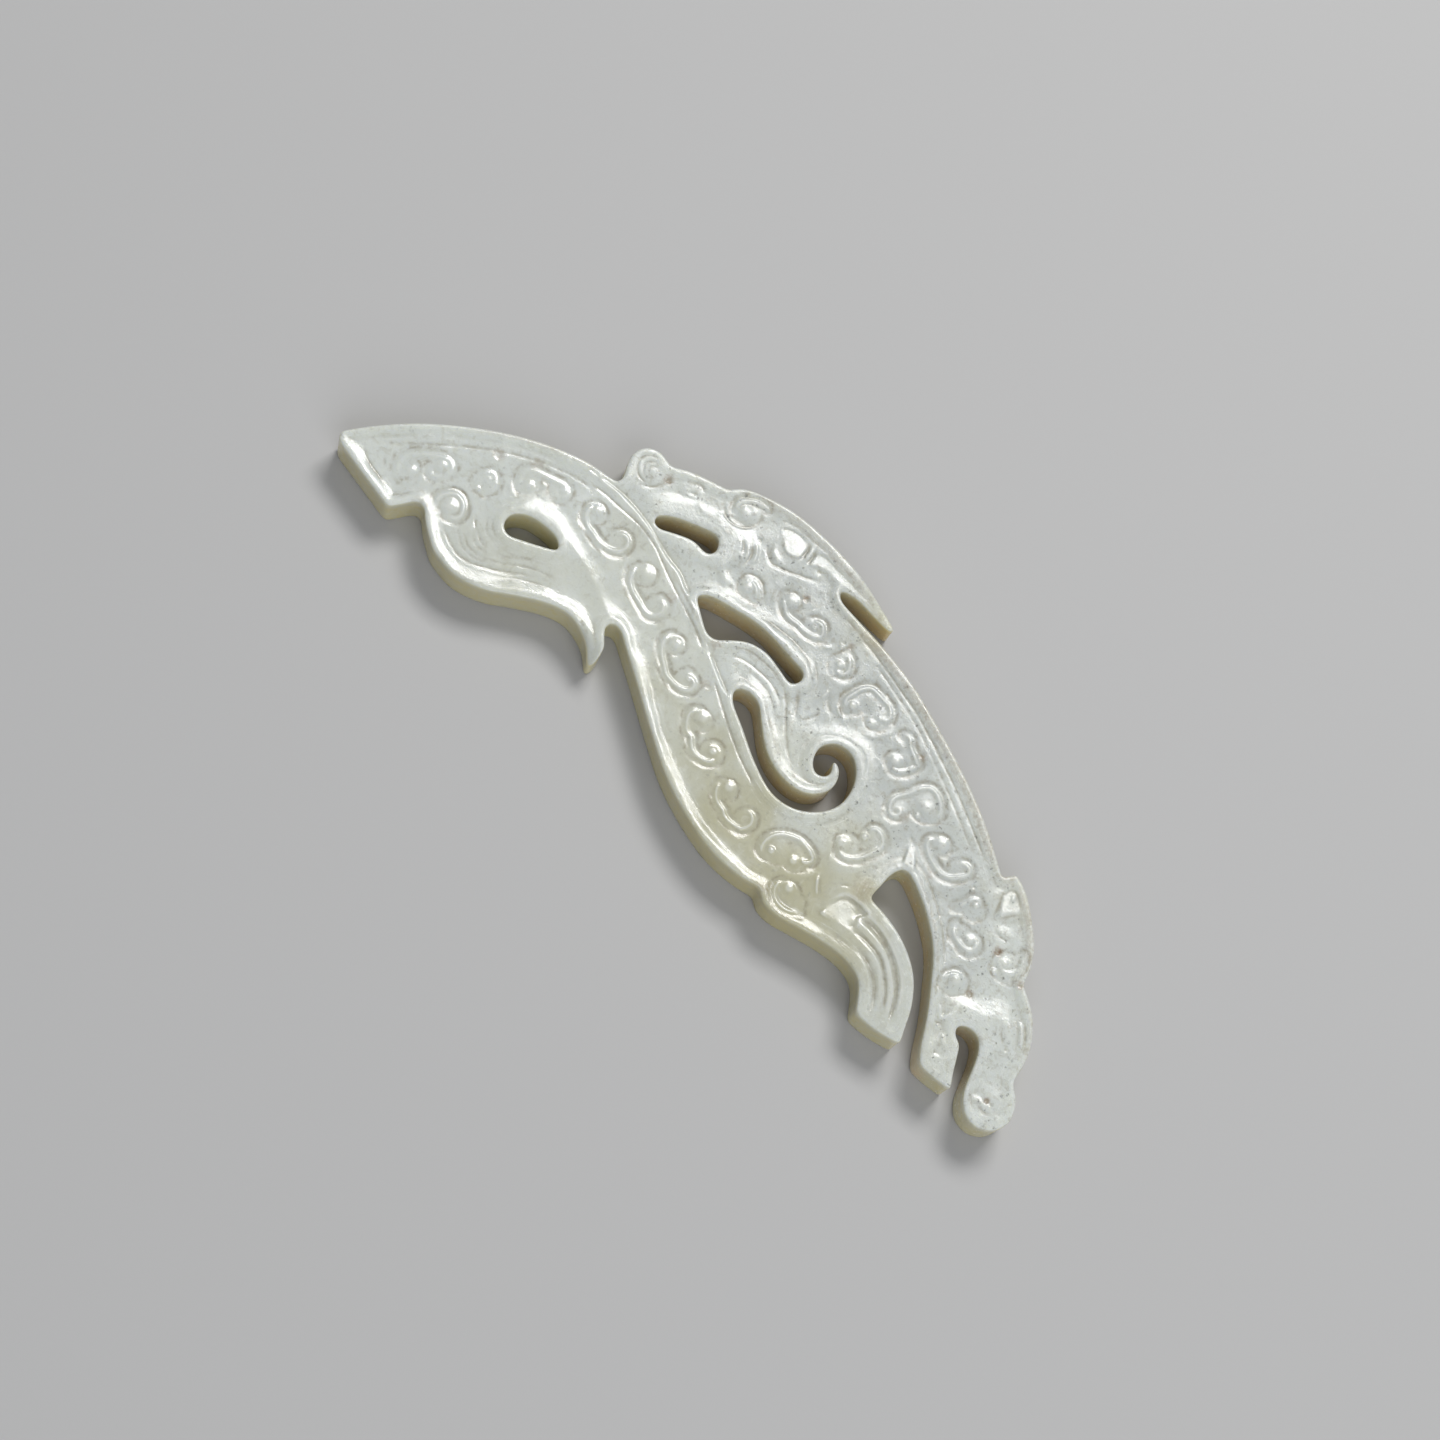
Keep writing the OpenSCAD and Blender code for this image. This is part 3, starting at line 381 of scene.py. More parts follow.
# Domes: x, y, half length, half width, turn in degrees, height
DOMES = [
    (44.6, 8.0, 4.0, 3.6, 0, 0.24),
    (46.6, 9.7, 1.9, 1.1, -52, 0.05),
    (51.2, 2.6, 2.9, 2.7, 0, 0.17),
    (-26.8, 24.8, 2.5, 2.2, 0, 0.15),
    (38.5, 17.2, 1.5, 1.1, 20, 0.06),
    (43.6, 2.6, 2.2, 1.5, -55, 0.12),
]
# Pits: x, y, radius, depth
PITS = [
    (39.35, 15.2, 0.42, 0.20), (-24.75, 25.5, 0.45, 0.12), (-4.15, 27.6, 0.40, 0.10), (3.3, 27.6, 0.35, 0.08),
    (50.06, 2.25, 0.33, 0.14), (40.55, 9.35, 0.35, 0.14), (43.75, 14.25, 0.30, 0.12),
      (-36.0, 15.4, 0.5, 0.05),
    (-39.5, 12.7, 0.55, 0.05), (10.15, 26.85, 0.35, 0.06), (17.7, 24.75, 0.40, 0.06),
      (32.35, 18.35, 0.25, 0.08),
    (34.8, 18.0, 0.25, 0.08), (-5.5, 31.0, 0.28, 0.06), (-4.2, 11.9, 0.45, 0.04), (47.6, 7.85, 0.22, 0.08),
    (-12.75, 28.5, 0.28, 0.06),
]
# Calm zones, where the hollow along the edges stays shallow: x, y, half length, half width, turn, share
CALM = [
    (48.5, 4.5, 6.0, 6.5, 0, 0.25),  # snout
    (0.5, 33.2, 8.0, 1.9, 0, 0.75),  # horn
    (44.0, 1.5, 3.0, 3.5, 0, 0.4),  # jaw
    (-26.5, 25.0, 3.6, 3.4, 0, 0.3),  # nose
    (-20.0, 28.0, 4.5, 2.2, 20, 0.5),  # muzzle
    (-18.5, 23.7, 6.4, 3.2, 25, 0.9),  # mouth slot
    (43.4, 6.2, 3.4, 2.2, -20, 0.9),  # corner of the right head's mouth
    (44.8, 0.5, 2.8, 1.5, -10, 0.85),  # chin
    (50.6, 0.2, 3.4, 1.8, 0, 0.7),  # under the snout
    (-30.2, 9.4, 5.2, 3.2, 15, 0.3),  # wing's hole
    (32.0, 3.0, 9.5, 5.2, -25, 0.8),  # claw
    (36.5, 20.0, 2.5, 1.6, 40, 0.4),  # ear
]
# Facets: wall, plane (height, slope x, slope y), points
FACETS = [
    (0.35, (-0.16, 0.03, -0.11), [(35.2, 20.9), (35.8, 21.6), (36.9, 21.2), (37.9, 20.2), (37.2, 19.1),
      (36.7, 18.3), (36.2, 18.7), (35.7, 19.7)]),
    (0.18, (-0.17, 0.035, -0.085), [(-11.9, 31.6), (-10.8, 32.4), (-8.8, 32.4), (-8.3, 31.2), (-8.3, 30.4),
      (-9.3, 29.8), (-10.2, 29.9), (-11, 30.6)]),
    (0.45, (-0.21, 0.025, -0.10), [(23.4, 6.7), (22.9, 5.8), (22.75, 5.0), (22.8, 4.0), (22.8, 3.2),
      (24.3, 3.5), (25.0, 4.0), (25.9, 4.2), (26.6, 4.9), (26.0, 6.0), (26.5, 7.1), (25.0, 7.1)]),
    (0.24, (-0.13, 0.03, -0.10), [(23.5, 17.1), (24.7, 16.4), (25.8, 15.4), (26.4, 14.4), (25.7, 13.5),
      (25.0, 14.3), (24.3, 15.7)]),
    (0.90, (-0.11, 0.03, -0.10), [(43.0, 10.8), (44.1, 11.9), (45.9, 10.1), (44.9, 8.9)]),
    (0.30, (-0.12, 0.01, -0.05), [(-7.0, 32.7), (-4.0, 33.0), (-1.0, 33.1), (0.4, 32.9), (-2.2, 32.4),
      (-4.5, 31.8), (-6.0, 31.3), (-6.8, 30.8)]),
]

# Folds: height and width on the left of the way, height and width on its right, points
FOLDS = [
    # the band's upper rim passes over the head, up to the long slot, and over the leaf
    (-0.16, 2.4, 0.10, 1.7, [(-30.2, 19.6), (-27, 20.2), (-24, 20.1), (-21, 19.6), (-18, 18.9), (-16, 18.7),
      (-14.3, 18.0), (-12.9, 17.5)]),
    (-0.14, 1.8, 0.10, 1.5, [(-7.2, 14.9), (-6, 14.35), (-4, 13.5), (-2.6, 12.95), (-1.5, 12.6)]),
    # the band's lower rim above the wing
    (0.10, 1.5, 0.09, 2.0, [(-32.4, 11.2), (-31, 11.2), (-29, 11.6), (-27, 11.6), (-24, 11.2), (-21.5, 10.5),
      (-19, 9.6), (-17, 9.0), (-14.8, 8.6)]),
    # rim round the spiral
    (0.12, 1.5, 0.0, 0.3, [(8.0, 16.6), (8.3, 17.6), (9.3, 18.8), (11.3, 19.8), (13.3, 19.8), (15, 18.1),
      (16, 15.9)]),
]

# Middles of the band and of the wing, for what marks them off from the heads and the arch
BAND_MIDDLE = [(-48, 6), (-41, 11), (-32, 15), (-22, 15), (-12, 12), (0, 6.5), (10, 3.5), (20, 4), (30, 4),
      (36, 1)]
WING_MIDDLE = [(-46, 2), (-38, 4), (-32, 4), (-25, 7), (-17, 6)]

# Curves
TINY = 1e-12


def knot(a, b):
    """What a span counts for in the curve: the root of its chord"""
    return math.sqrt(np.hypot(*(b - a)))


def slope(a, b, c):
    """The curve's slope at b, between its neighbours a and c"""
    return (b - a) / knot(a, b) - (c - a) / (knot(a, b) + knot(b, c)) + (c - b) / knot(b, c)


def blend(a, b, ma, mb, h, t):
    """Points at the shares t of the span from a to b, with slopes ma and mb at its ends"""
    t = t[:, None]
    return ((2 * t**3 - 3 * t**2 + 1) * a + (t**3 - 2 * t**2 + t) * h * ma
            + (3 * t**2 - 2 * t**3) * b + (t**3 - t**2) * h * mb)


def curve(points, step, closed=False):
    """Smooth curve through the points; a closed one leaves out its last point"""
    p = np.array(points, float)
    n = len(p)
    if closed:
        s = [slope(p[i - 1], p[i], p[(i + 1) % n]) for i in range(n)]
        spans = [(i, (i + 1) % n) for i in range(n)]
    else:
        s = [slope(p[i - 1], p[i], p[i + 1]) for i in range(1, n - 1)]
        s = [(p[1] - p[0]) / knot(p[0], p[1])] + s + [(p[-1] - p[-2]) / knot(p[-2], p[-1])]
        spans = [(i, i + 1) for i in range(n - 1)]
    out = []
    for i, j in spans:
        m = max(1, math.ceil(np.hypot(*(p[j] - p[i])) / step))
        out.append(blend(p[i], p[j], s[i], s[j], knot(p[i], p[j]), np.arange(m) / m))
    if not closed:
        out.append(p[-1:])
    return np.concatenate(out)


def polish(p):
    """One pass that rounds the corners of a closed run"""
    return (np.roll(p, 1, 0) + 2 * p + np.roll(p, -1, 0)) / 4


def edge_loops():
    """The outline and the openings as fine closed runs, stone on the left of each"""
    runs = [np.concatenate([curve(s, LOOP_STEP)[:-1] for s in STRETCHES])]
    runs += [curve(o, LOOP_STEP, True) for o in OPENINGS]
    out = []
    for p in runs:
        for _ in range(LOOP_PASSES):
            p = polish(p)
        area = np.sum(p[:, 0] * np.roll(p[:, 1], -1) - np.roll(p[:, 0], -1) * p[:, 1])
        out.append(p if (area > 0) == (not out) else p[::-1])
    return out


# Maps
PITCH = 0.05
LEFT, RIGHT, LOW, HIGH = -54.6, 54.8, -3.0, 35.6
NX, NY = int(round((RIGHT - LEFT) / PITCH)) + 1, int(round((HIGH - LOW) / PITCH)) + 1
GX, GY = LEFT + PITCH * np.arange(NX), LOW + PITCH * np.arange(NY)


def window(x0, x1, y0, y1):
    """The map's rows and columns that hold a rectangle"""
    i0, i1 = max(0, int((x0 - LEFT) / PITCH)), min(NX, int((x1 - LEFT) / PITCH) + 2)
    j0, j1 = max(0, int((y0 - LOW) / PITCH)), min(NY, int((y1 - LOW) / PITCH) + 2)
    return slice(j0, j1), slice(i0, i1)


def window_round(p, reach):
    """The map's rows and columns that hold the points, and reach round them"""
    (x0, y0), (x1, y1) = p.min(0) - reach, p.max(0) + reach
    return window(x0, x1, y0, y1)


def within(part, whole):
    """A slice of the map, counted from the start of the slice that holds it"""
    return slice(part.start - whole.start, part.stop - whole.start)


def from_point(x, y, rows, cols):
    """Distance of a window's cells to a point"""
    return np.hypot(GX[cols][None, :] - x, GY[rows][:, None] - y)


def from_ends(p, rows, cols):
    """Distance of a window's cells to the nearer end of a run of points"""
    return np.minimum(from_point(*p[0], rows, cols), from_point(*p[-1], rows, cols))


def distance(p, reach, closed=False):
    """Rows, columns and distance to a run of points, and 1 on its left, -1 on its right"""
    p = np.asarray(p, float)
    ends = np.roll(p, -1, 0) if closed else p[1:]
    rows, cols = window_round(p, reach)
    D = np.full((rows.stop - rows.start, cols.stop - cols.start), reach + 1.0)
    S = np.ones_like(D)
    for u, v in zip(p, ends):
        span_rows, span_cols = window_round(np.array([u, v]), reach)
        X, Y = GX[span_cols][None, :] - u[0], GY[span_rows][:, None] - u[1]
        w = v - u
        t = np.clip((X * w[0] + Y * w[1]) / max(w @ w, TINY), 0, 1)
        d = np.hypot(X - t * w[0], Y - t * w[1])
        part = within(span_rows, rows), within(span_cols, cols)
        near = d < D[part]
        D[part] = np.where(near, d, D[part])
        S[part] = np.where(near, np.sign(w[0] * Y - w[1] * X + TINY), S[part])
    return rows, cols, D, S


def inside(p):
    """Even-odd fill of a closed run of points"""
    M = np.zeros((NY, NX), bool)
    p = np.asarray(p, float)
    for (x1, y1), (x2, y2) in zip(p, np.roll(p, -1, 0)):
        lo, hi = min(y1, y2), max(y1, y2)
        for j in range(max(math.ceil((lo - LOW) / PITCH), 0), min(math.ceil((hi - LOW) / PITCH), NY)):
            x = x1 + (GY[j] - y1) * (x2 - x1) / (y2 - y1)
            M[j, max(math.ceil((x - LEFT) / PITCH), 0):] ^= True
    return M


def smooth(t):
    """0 to 1 without a kink"""
    t = np.clip(t, 0, 1)
    return t * t * (3 - 2 * t)


def blur(H, sigma):
    """Gaussian blur of a map, in mm"""
    r = max(1, math.ceil(3 * sigma / PITCH))
    k = np.exp(-0.5 * (np.arange(-r, r + 1) * PITCH / sigma) ** 2)
    k /= k.sum()
    P = np.pad(H, ((r, r), (0, 0)), mode="edge")
    H = sum(k[i] * P[i:i + H.shape[0]] for i in range(2 * r + 1))
    P = np.pad(H, ((0, 0), (r, r)), mode="edge")
    return sum(k[i] * P[:, i:i + H.shape[1]] for i in range(2 * r + 1))


def noise(scale, seed):
    """Soft random field, about -1 to 1"""
    rng = np.random.default_rng(seed)
    c = rng.uniform(-1, 1, (int((HIGH - LOW) / scale) + 4, int((RIGHT - LEFT) / scale) + 4))
    fx, fy = (GX - LEFT) / scale + 1, (GY - LOW) / scale + 1
    ix, iy = fx.astype(int), fy.astype(int)
    tx, ty = smooth(fx - ix), smooth(fy - iy)[:, None]
    a = c[iy][:, ix] * (1 - tx) + c[iy][:, ix + 1] * tx
    b = c[iy + 1][:, ix] * (1 - tx) + c[iy + 1][:, ix + 1] * tx
    return a * (1 - ty) + b * ty


def ellipse(x, y, cx, cy, a, b, turn):
    """1 on the edge of an ellipse, 0 at its centre"""
    t = math.radians(turn)
    u = ((x - cx) * math.cos(t) + (y - cy) * math.sin(t)) / a
    v = (-(x - cx) * math.sin(t) + (y - cy) * math.cos(t)) / b
    return np.hypot(u, v)


def swell(d, hw):
    """Cross-section of a ridge or a groove, round at its crest and its feet"""
    return 0.5 + 0.5 * np.cos(math.pi * np.clip(d / hw, 0, 1))


def dome(d, r):
    """Cross-section of a pit"""
    return np.sqrt(np.clip(1 - (d / r) ** 2, 0, 1))


# Relief: heights, depths and widths in mm
REACH, FAR = 3.0, 3.2  # distances from the edges are worked out to here, and beyond it are this
HOLLOW_D, HOLLOW_A, HOLLOW_B = 0.24, 0.30, 1.60  # depth of the ground, and from where to where it falls
RIM_UNEVEN = 0.28  # share by which the ground's depth and place waver
CALM_EDGE, CALM_SOFT = 1.3, 0.5  # where a calm zone ends, in its radii, and over which width
DOME_POWER = 0.8
FACET_STEP, FACET_REACH = 0.3, 1.0
FOLD_STEP = 0.5  # width of the step in the middle of a fold
FOLD_POWER, FOLD_LEAD, FOLD_FADE = 1.4, 0.3, 1.6  # a fold's slope, and how it fades at its ends
TAPER, LINE_TAPER, TAPER_SHARE = 0.9, 2.2, 0.4  # length of a stroke's end, and its most as a share
FADE_TO = 0.12  # height of a stroke at its ends, as a share
LINE_WIDER, LINE_SHALLOWER = 1.25, 0.6  # wear of the engraved lines
V_SHARE, ROUND_SHARE = 0.7, 0.3  # a groove's section is part V, part round
GROOVE_SOIL = 0.7
SEAM_HW, SEAM_H = 0.38, 0.028
SECOND_HW, SECOND_H = 0.42, 0.045
RIDGE_HW, RIDGE_H = 0.40, 0.12
KNOB_H, KNOB_GROW, KNOB_POWER = 0.15, 1.35, 1.3
MOAT_D, MOAT_WALL, MOAT_OUT = 0.07, 0.56, 1.05  # hollow round a scroll: depth, wall, distance from the ridge
RING_D, RING_SOIL = 0.012, 1.5  # line cut along the hollow's wall, and how closely soil keeps to it
PILLOW_H, PILLOW_POWER = 0.06, 1.5  # swell of the hollow's middle
WORN_TO = 0.6  # height of the worn scrolls, as a share
UNEVEN = 0.25  # share by which the carving's height wavers
UNDULATE, UNDULATE_FINE, UNDULATE_IN = 0.03, 0.45, 1.2
# Uneven fields: size in mm, seed
GROUND_FIELD, RIM_FIELD, CARVING_FIELD = (3.7, 8), (2.3, 9), (1.9, 7)
WAVE_FIELD, RIPPLE_FIELD = (3.1, 5), (1.4, 6)
BLUR, SOIL_BLUR = 0.06, 0.05
CEILING = 0.04  # softness of the level that the carving never passes
CURVE_STEP, RIDGE_STEP = 0.2, 0.15  # spacing of the points along a stroke
# How far the horn and the barb thin, and where
HORN_THIN, HORN_FROM, HORN_LONG, HORN_FOOT, HORN_RISE, HORN_END = 1.1, -4.0, 9.2, 30.3, 1.2, 6
BARB_THIN, BARB_TOP, BARB_FALL, BARB_POWER, BARB_X, BARB_HALF = 2.0, 6.3, 2.6, 1.3, -16.4, 2.6


def add_rims(H, E):
    """The ground sinks inside the rims, less in the calm zones, and swells in the domes"""
    X, Y = np.meshgrid(GX, GY)
    calm = np.zeros_like(E)
    for cx, cy, a, b, turn, share in CALM:
        calm = np.maximum(calm, share * smooth((CALM_EDGE - ellipse(X, Y, cx, cy, a, b, turn)) / CALM_SOFT))
    deep = HOLLOW_D * (1 - calm) * (1 + RIM_UNEVEN * noise(*GROUND_FIELD))
    H -= deep * smooth((E * (1 + RIM_UNEVEN * noise(*RIM_FIELD)) - HOLLOW_A) / (HOLLOW_B - HOLLOW_A))
    for cx, cy, a, b, turn, h in DOMES:
        H += h * smooth(1 - ellipse(X, Y, cx, cy, a, b, turn)) ** DOME_POWER


def add_facets(H):
    """Flat polished planes"""
    for wall, (z, zx, zy), points in FACETS:
        p = curve(points, FACET_STEP, True)
        rows, cols, d, _ = distance(p, FACET_REACH, True)
        m = inside(p)[rows, cols]
        w = smooth(0.5 + np.where(m, d, -d) / wall)
        cx, cy = p.mean(0)
        plane = z + zx * (GX[cols][None, :] - cx) + zy * (GY[rows][:, None] - cy)
        H[rows, cols] += (plane - H[rows, cols]) * w


def add_folds(H):
    """Long edges where one side stands above or falls away from the other"""
    for lh, lw, rh, rw, points in FOLDS:
        p = curve(points, CURVE_STEP)
        rows, cols, d, side = distance(p, max(lw, rw))
        fade = smooth((from_ends(p, rows, cols) + FOLD_LEAD) / FOLD_FADE)
        left, right = np.clip(1 - d / lw, 0, 1) ** FOLD_POWER, np.clip(1 - d / rw, 0, 1) ** FOLD_POWER
        on_left = smooth(0.5 + side * d / FOLD_STEP)
        H[rows, cols] += fade * (on_left * lh * left + (1 - on_left) * rh * right)


def taper(p, rows, cols, over=TAPER):
    """1 along a stroke, falling to FADE_TO at its two ends"""
    long = np.hypot(*np.diff(p, axis=0).T).sum()
    return FADE_TO + (1 - FADE_TO) * smooth(from_ends(p, rows, cols) / min(over, TAPER_SHARE * long))


def add_ridge(H, points, step, hw, h):
    """A round ridge along a curve"""
    p = curve(points, step)
    rows, cols, d, _ = distance(p, hw)
    H[rows, cols] += h * taper(p, rows, cols) * swell(d, hw)


def add_groove(H, soil, points, hw, h):
    """A cut along a curve, which keeps soil"""
    p = curve(points, CURVE_STEP)
    rows, cols, d, _ = distance(p, hw)
    t = np.clip(1 - d / hw, 0, 1)
    t = taper(p, rows, cols, LINE_TAPER) * (V_SHARE * t + ROUND_SHARE * smooth(t))
    H[rows, cols] -= h * t
    soil[rows, cols] = np.maximum(soil[rows, cols], GROOVE_SOIL * t)


def add_scroll(H, soil, ridge, knobs, hollows, share):
    """A ridge with knobs, in a hollow that is cut round them"""
    c = curve(ridge, RIDGE_STEP)
    rows, cols = window_round(c, REACH)
    D = np.full((rows.stop - rows.start, cols.stop - cols.start), REACH)
    near_rows, near_cols, d, _ = distance(c, MOAT_OUT + MOAT_WALL)
    D[within(near_rows, rows), within(near_cols, cols)] = d
    moat = smooth((MOAT_OUT - D) / MOAT_WALL)
    pillow = np.zeros_like(D)
    for x, y, r in hollows:
        d = from_point(x, y, rows, cols) / r
        moat = np.maximum(moat, smooth((1 - d) * r / MOAT_WALL))
        pillow = np.maximum(pillow, np.clip(1 - d * d, 0, 1) ** PILLOW_POWER)
    up = RIDGE_H * taper(c, rows, cols) * swell(D, RIDGE_HW)
    for x, y, r in knobs:
        d = from_point(x, y, rows, cols) / (KNOB_GROW * r)
        up = np.maximum(up, KNOB_H * np.clip(1 - d * d, 0, 1) ** KNOB_POWER)
    ring = 4 * moat * (1 - moat)
    H[rows, cols] += share * (PILLOW_H * pillow - MOAT_D * moat - RING_D * ring + up)
    soil[rows, cols] = np.maximum(soil[rows, cols], ring**RING_SOIL)


def add_carving(H, soil):
    """Every ridge, cut and scroll of the tables"""
    for hw, h, points in RIDGES:
        add_ridge(H, points, CURVE_STEP, hw, h)
    for hw, h, points in GROOVES:
        add_groove(H, soil, points, hw, h)
    for hw, h, points in LINES:
        add_groove(H, soil, points, LINE_WIDER * hw, LINE_SHALLOWER * h)
    for k, (ridge, knobs, hollows, second) in enumerate(SCROLLS):
        add_scroll(H, soil, ridge, knobs, hollows, WORN_TO if k < WORN else 1.0)
        if second:
            add_ridge(H, second, RIDGE_STEP, SECOND_HW, SECOND_H)
    for points in SEAMS:
        add_ridge(H, points, CURVE_STEP, SEAM_HW, SEAM_H)


def edge_distance():
    """Distance to the nearest edge, positive in the stone"""
    E = np.full((NY, NX), FAR)
    M = np.zeros((NY, NX), bool)
    for p in edge_loops():
        rows, cols, d, _ = distance(p, REACH, True)
        E[rows, cols] = np.minimum(E[rows, cols], d)
        M ^= inside(p)
    return np.where(M, E, -E)


def relief():
    """Distance to the nearest edge, height above the rims' level, and where soil stays in the cuts"""
    E = edge_distance()
    H = np.zeros_like(E)
    add_rims(H, E)
    add_facets(H)
    add_folds(H)
    cuts, soil = np.zeros_like(E), np.zeros_like(E)
    add_carving(cuts, soil)
    H += cuts * (1 + UNEVEN * noise(*CARVING_FIELD))
    for x, y, r, h in PITS:
        rows, cols = window(x - r, x + r, y - r, y + r)
        H[rows, cols] -= h * dome(from_point(x, y, rows, cols), r)
    H = blur(H, BLUR)
    H += UNDULATE * (noise(*WAVE_FIELD) + UNDULATE_FINE * noise(*RIPPLE_FIELD)) * smooth(E / UNDULATE_IN)
    low = np.minimum(H + CEILING, 0.0)
    return E, low - CEILING * np.exp(-np.maximum(H + CEILING, 0.0) / CEILING), blur(soil, SOIL_BLUR)


def thinning(p):
    """The horn thins to its tip, and the barb's face falls to its point"""
    x, y = p[:, 0], p[:, 1]
    horn = smooth((x - HORN_FROM) / HORN_LONG) * smooth((y - HORN_FOOT) / HORN_RISE) * (x < HORN_END)
    barb = np.clip((BARB_TOP - y) / BARB_FALL, 0, 1) ** BARB_POWER * (np.abs(x - BARB_X) < BARB_HALF)
    return -HORN_THIN * horn - BARB_THIN * barb


# Mesh of the plaque
HEX = 0.115  # finest spacing of the face's points; it doubles where the face is calm
BEND_FINE, BEND_MID = 2.1, 0.52  # bends of the relief, 1/mm, where the spacing turns finest, and middling
INSETS = (0.045, 0.13, 0.27)  # rings of points inside the edge, for its rounding
EDGE_R, BACK_R = 0.30, 0.35  # rounding of the face's edge and of the back's
BACK_INSETS = (0.05, 0.17, 0.36)
BACK_STEP, BACK_SPAN = 1.2, 60
RING_FIT, RING_SLACK = 0.86, 0.012  # a ring's point this near to another edge is left out
GRID_GAP, BACK_GAP = 0.09, 0.3  # from the last ring to the grid
WALL_RINGS = (0.9, 0.62, 0.34, 0.10)  # heights of the wall's rings, as shares of the wall
SLIVER = 1.0  # a patch whose depths add up to less is a sliver on a straight edge
WALL_WAVE, WALL_EVEN, WALL_FINE = 0.035, 0.6, 0.6  # unevenness of the ground walls
WALL_FIELD, WALL_FINE_FIELD = (2.3, 21), (0.9, 22)
CDT_EXACT = 1e-6


def inward(p):
    """Unit vectors into the stone from a closed run"""
    d = np.roll(p, -1, 0) - np.roll(p, 1, 0)
    d /= np.linalg.norm(d, axis=1)[:, None]
    return np.stack([-d[:, 1], d[:, 0]], 1)


def sample(field, p):
    """A map's values at points, between its cells"""
    u = np.clip((p[:, 0] - LEFT) / PITCH, 0, NX - 1.001)
    v = np.clip((p[:, 1] - LOW) / PITCH, 0, NY - 1.001)
    i, j = u.astype(int), v.astype(int)
    a, b = u - i, v - j
    return ((field[j, i] * (1 - a) + field[j, i + 1] * a) * (1 - b)
            + (field[j + 1, i] * (1 - a) + field[j + 1, i + 1] * a) * b)


def rounding(e, r):
    """How far a rounded edge falls at the distance e from it"""
    e = np.clip(e, 0, r)
    return r - np.sqrt(np.clip(r * r - (r - e) ** 2, 0, None))


def bends(H):
    """How strongly the relief bends, spread a little to its surroundings"""
    gy, gx = np.gradient(blur(H, BLUR), PITCH)
    xx, yy = np.gradient(gx, PITCH, axis=1), np.gradient(gy, PITCH, axis=0)
    b = np.abs(xx) + np.abs(yy)
    for axis in (0, 1):
        b = np.maximum.reduce([np.roll(b, k, axis) for k in range(-3, 4)])
    return b


def face_points(E, bend, keep_off):
    """Hexagonal grid, finer where the relief bends"""
    step_y = HEX * math.sqrt(3) / 2
    nj, ni = int((HIGH - LOW) / step_y), int((RIGHT - LEFT) / HEX)
    j, i = np.mgrid[0:nj, 0:ni]
    x, y = LEFT + HEX * (i + 0.5 * (j % 2)), LOW + step_y * j
    p = np.stack([x.ravel(), y.ravel()], 1)
    i, j = i.ravel(), j.ravel()
    b = sample(bend, p)
    stride = np.where(b > BEND_FINE, 1, np.where(b > BEND_MID, 2, 4))
    # a coarser grid is every second row, and every second point of it
    on = (j % stride == 0) & ((i - j // 2) % stride == 0)
    return p[on & (sample(E, p) > keep_off)]


def sides(face):
    """A face's edges, each with its lower index first"""
    return [(min(u, v), max(u, v)) for u, v in zip(face, face[1:] + face[:1])]


def find_patches(faces, fence):
    """For each face the patch that it belongs to, which the fence's edges part from the others"""
    closed = {(min(e), max(e)) for e in fence}
    touching = {}
    for k, f in enumerate(faces):
        for e in sides(f):
            touching.setdefault(e, []).append(k)
    patch, patches = [-1] * len(faces), 0
    for k in range(len(faces)):
        if patch[k] >= 0:
            continue
        patch[k], stack = patches, [k]
        while stack:
            for e in sides(faces[stack.pop()]):
                for other in [] if e in closed else touching[e]:
                    if patch[other] < 0:
                        patch[other] = patches
                        stack.append(other)
        patches += 1
    return patch, patches


def triangulate(loops, free, E):
    """Triangles of stone between the loops and through the free points, as indices"""
    verts, fence, start = [], [], 0
    for p in loops:
        n = len(p)
        verts += [Vector(q) for q in p.tolist()]
        fence += [(start + k, start + (k + 1) % n) for k in range(n)]
        start += n
    verts += [Vector(q) for q in free.tolist()]
    _, _, faces, origin, _, _ = delaunay_2d_cdt(verts, fence, [], 0, CDT_EXACT, True)
    faces = [tuple(origin[v][0] for v in f) for f in faces]
    patch, patches = find_patches(faces, fence)
    # a patch is stone or air as a whole
    co = np.array([tuple(v) for v in verts])
    depth = np.zeros(patches)
    np.add.at(depth, patch, sample(E, co[np.array(faces)].mean(1)))
    return [f for f, k in zip(faces, patch) if depth[k] > SLIVER]


def rings(loops, insets, E):
    """Points at the insets from the edges, and their distances"""
    out, off = [], []
    for d in insets:
        for p in loops:
            q = p + d * inward(p)
            good = sample(E, q) > d * RING_FIT - RING_SLACK
            out.append(q[good])
            off.append(np.full(good.sum(), d))
    return np.concatenate(out), np.concatenate(off)


def face_layer(loops, E, H):
    """Points of the carved face, the edges' first, and its triangles"""
    rim = np.concatenate(loops)
    ring, ring_e = rings(loops, INSETS, E)
    grid = face_points(E, bends(H), INSETS[-1] + GRID_GAP)
    xy = np.concatenate([rim, ring, grid])
    e = np.concatenate([np.zeros(len(rim)), ring_e, sample(E, grid)])
    z = THICK + sample(H, xy) + thinning(xy) - rounding(e, EDGE_R)
    return np.column_stack([xy, z]), triangulate(loops, xy[len(rim):], E)


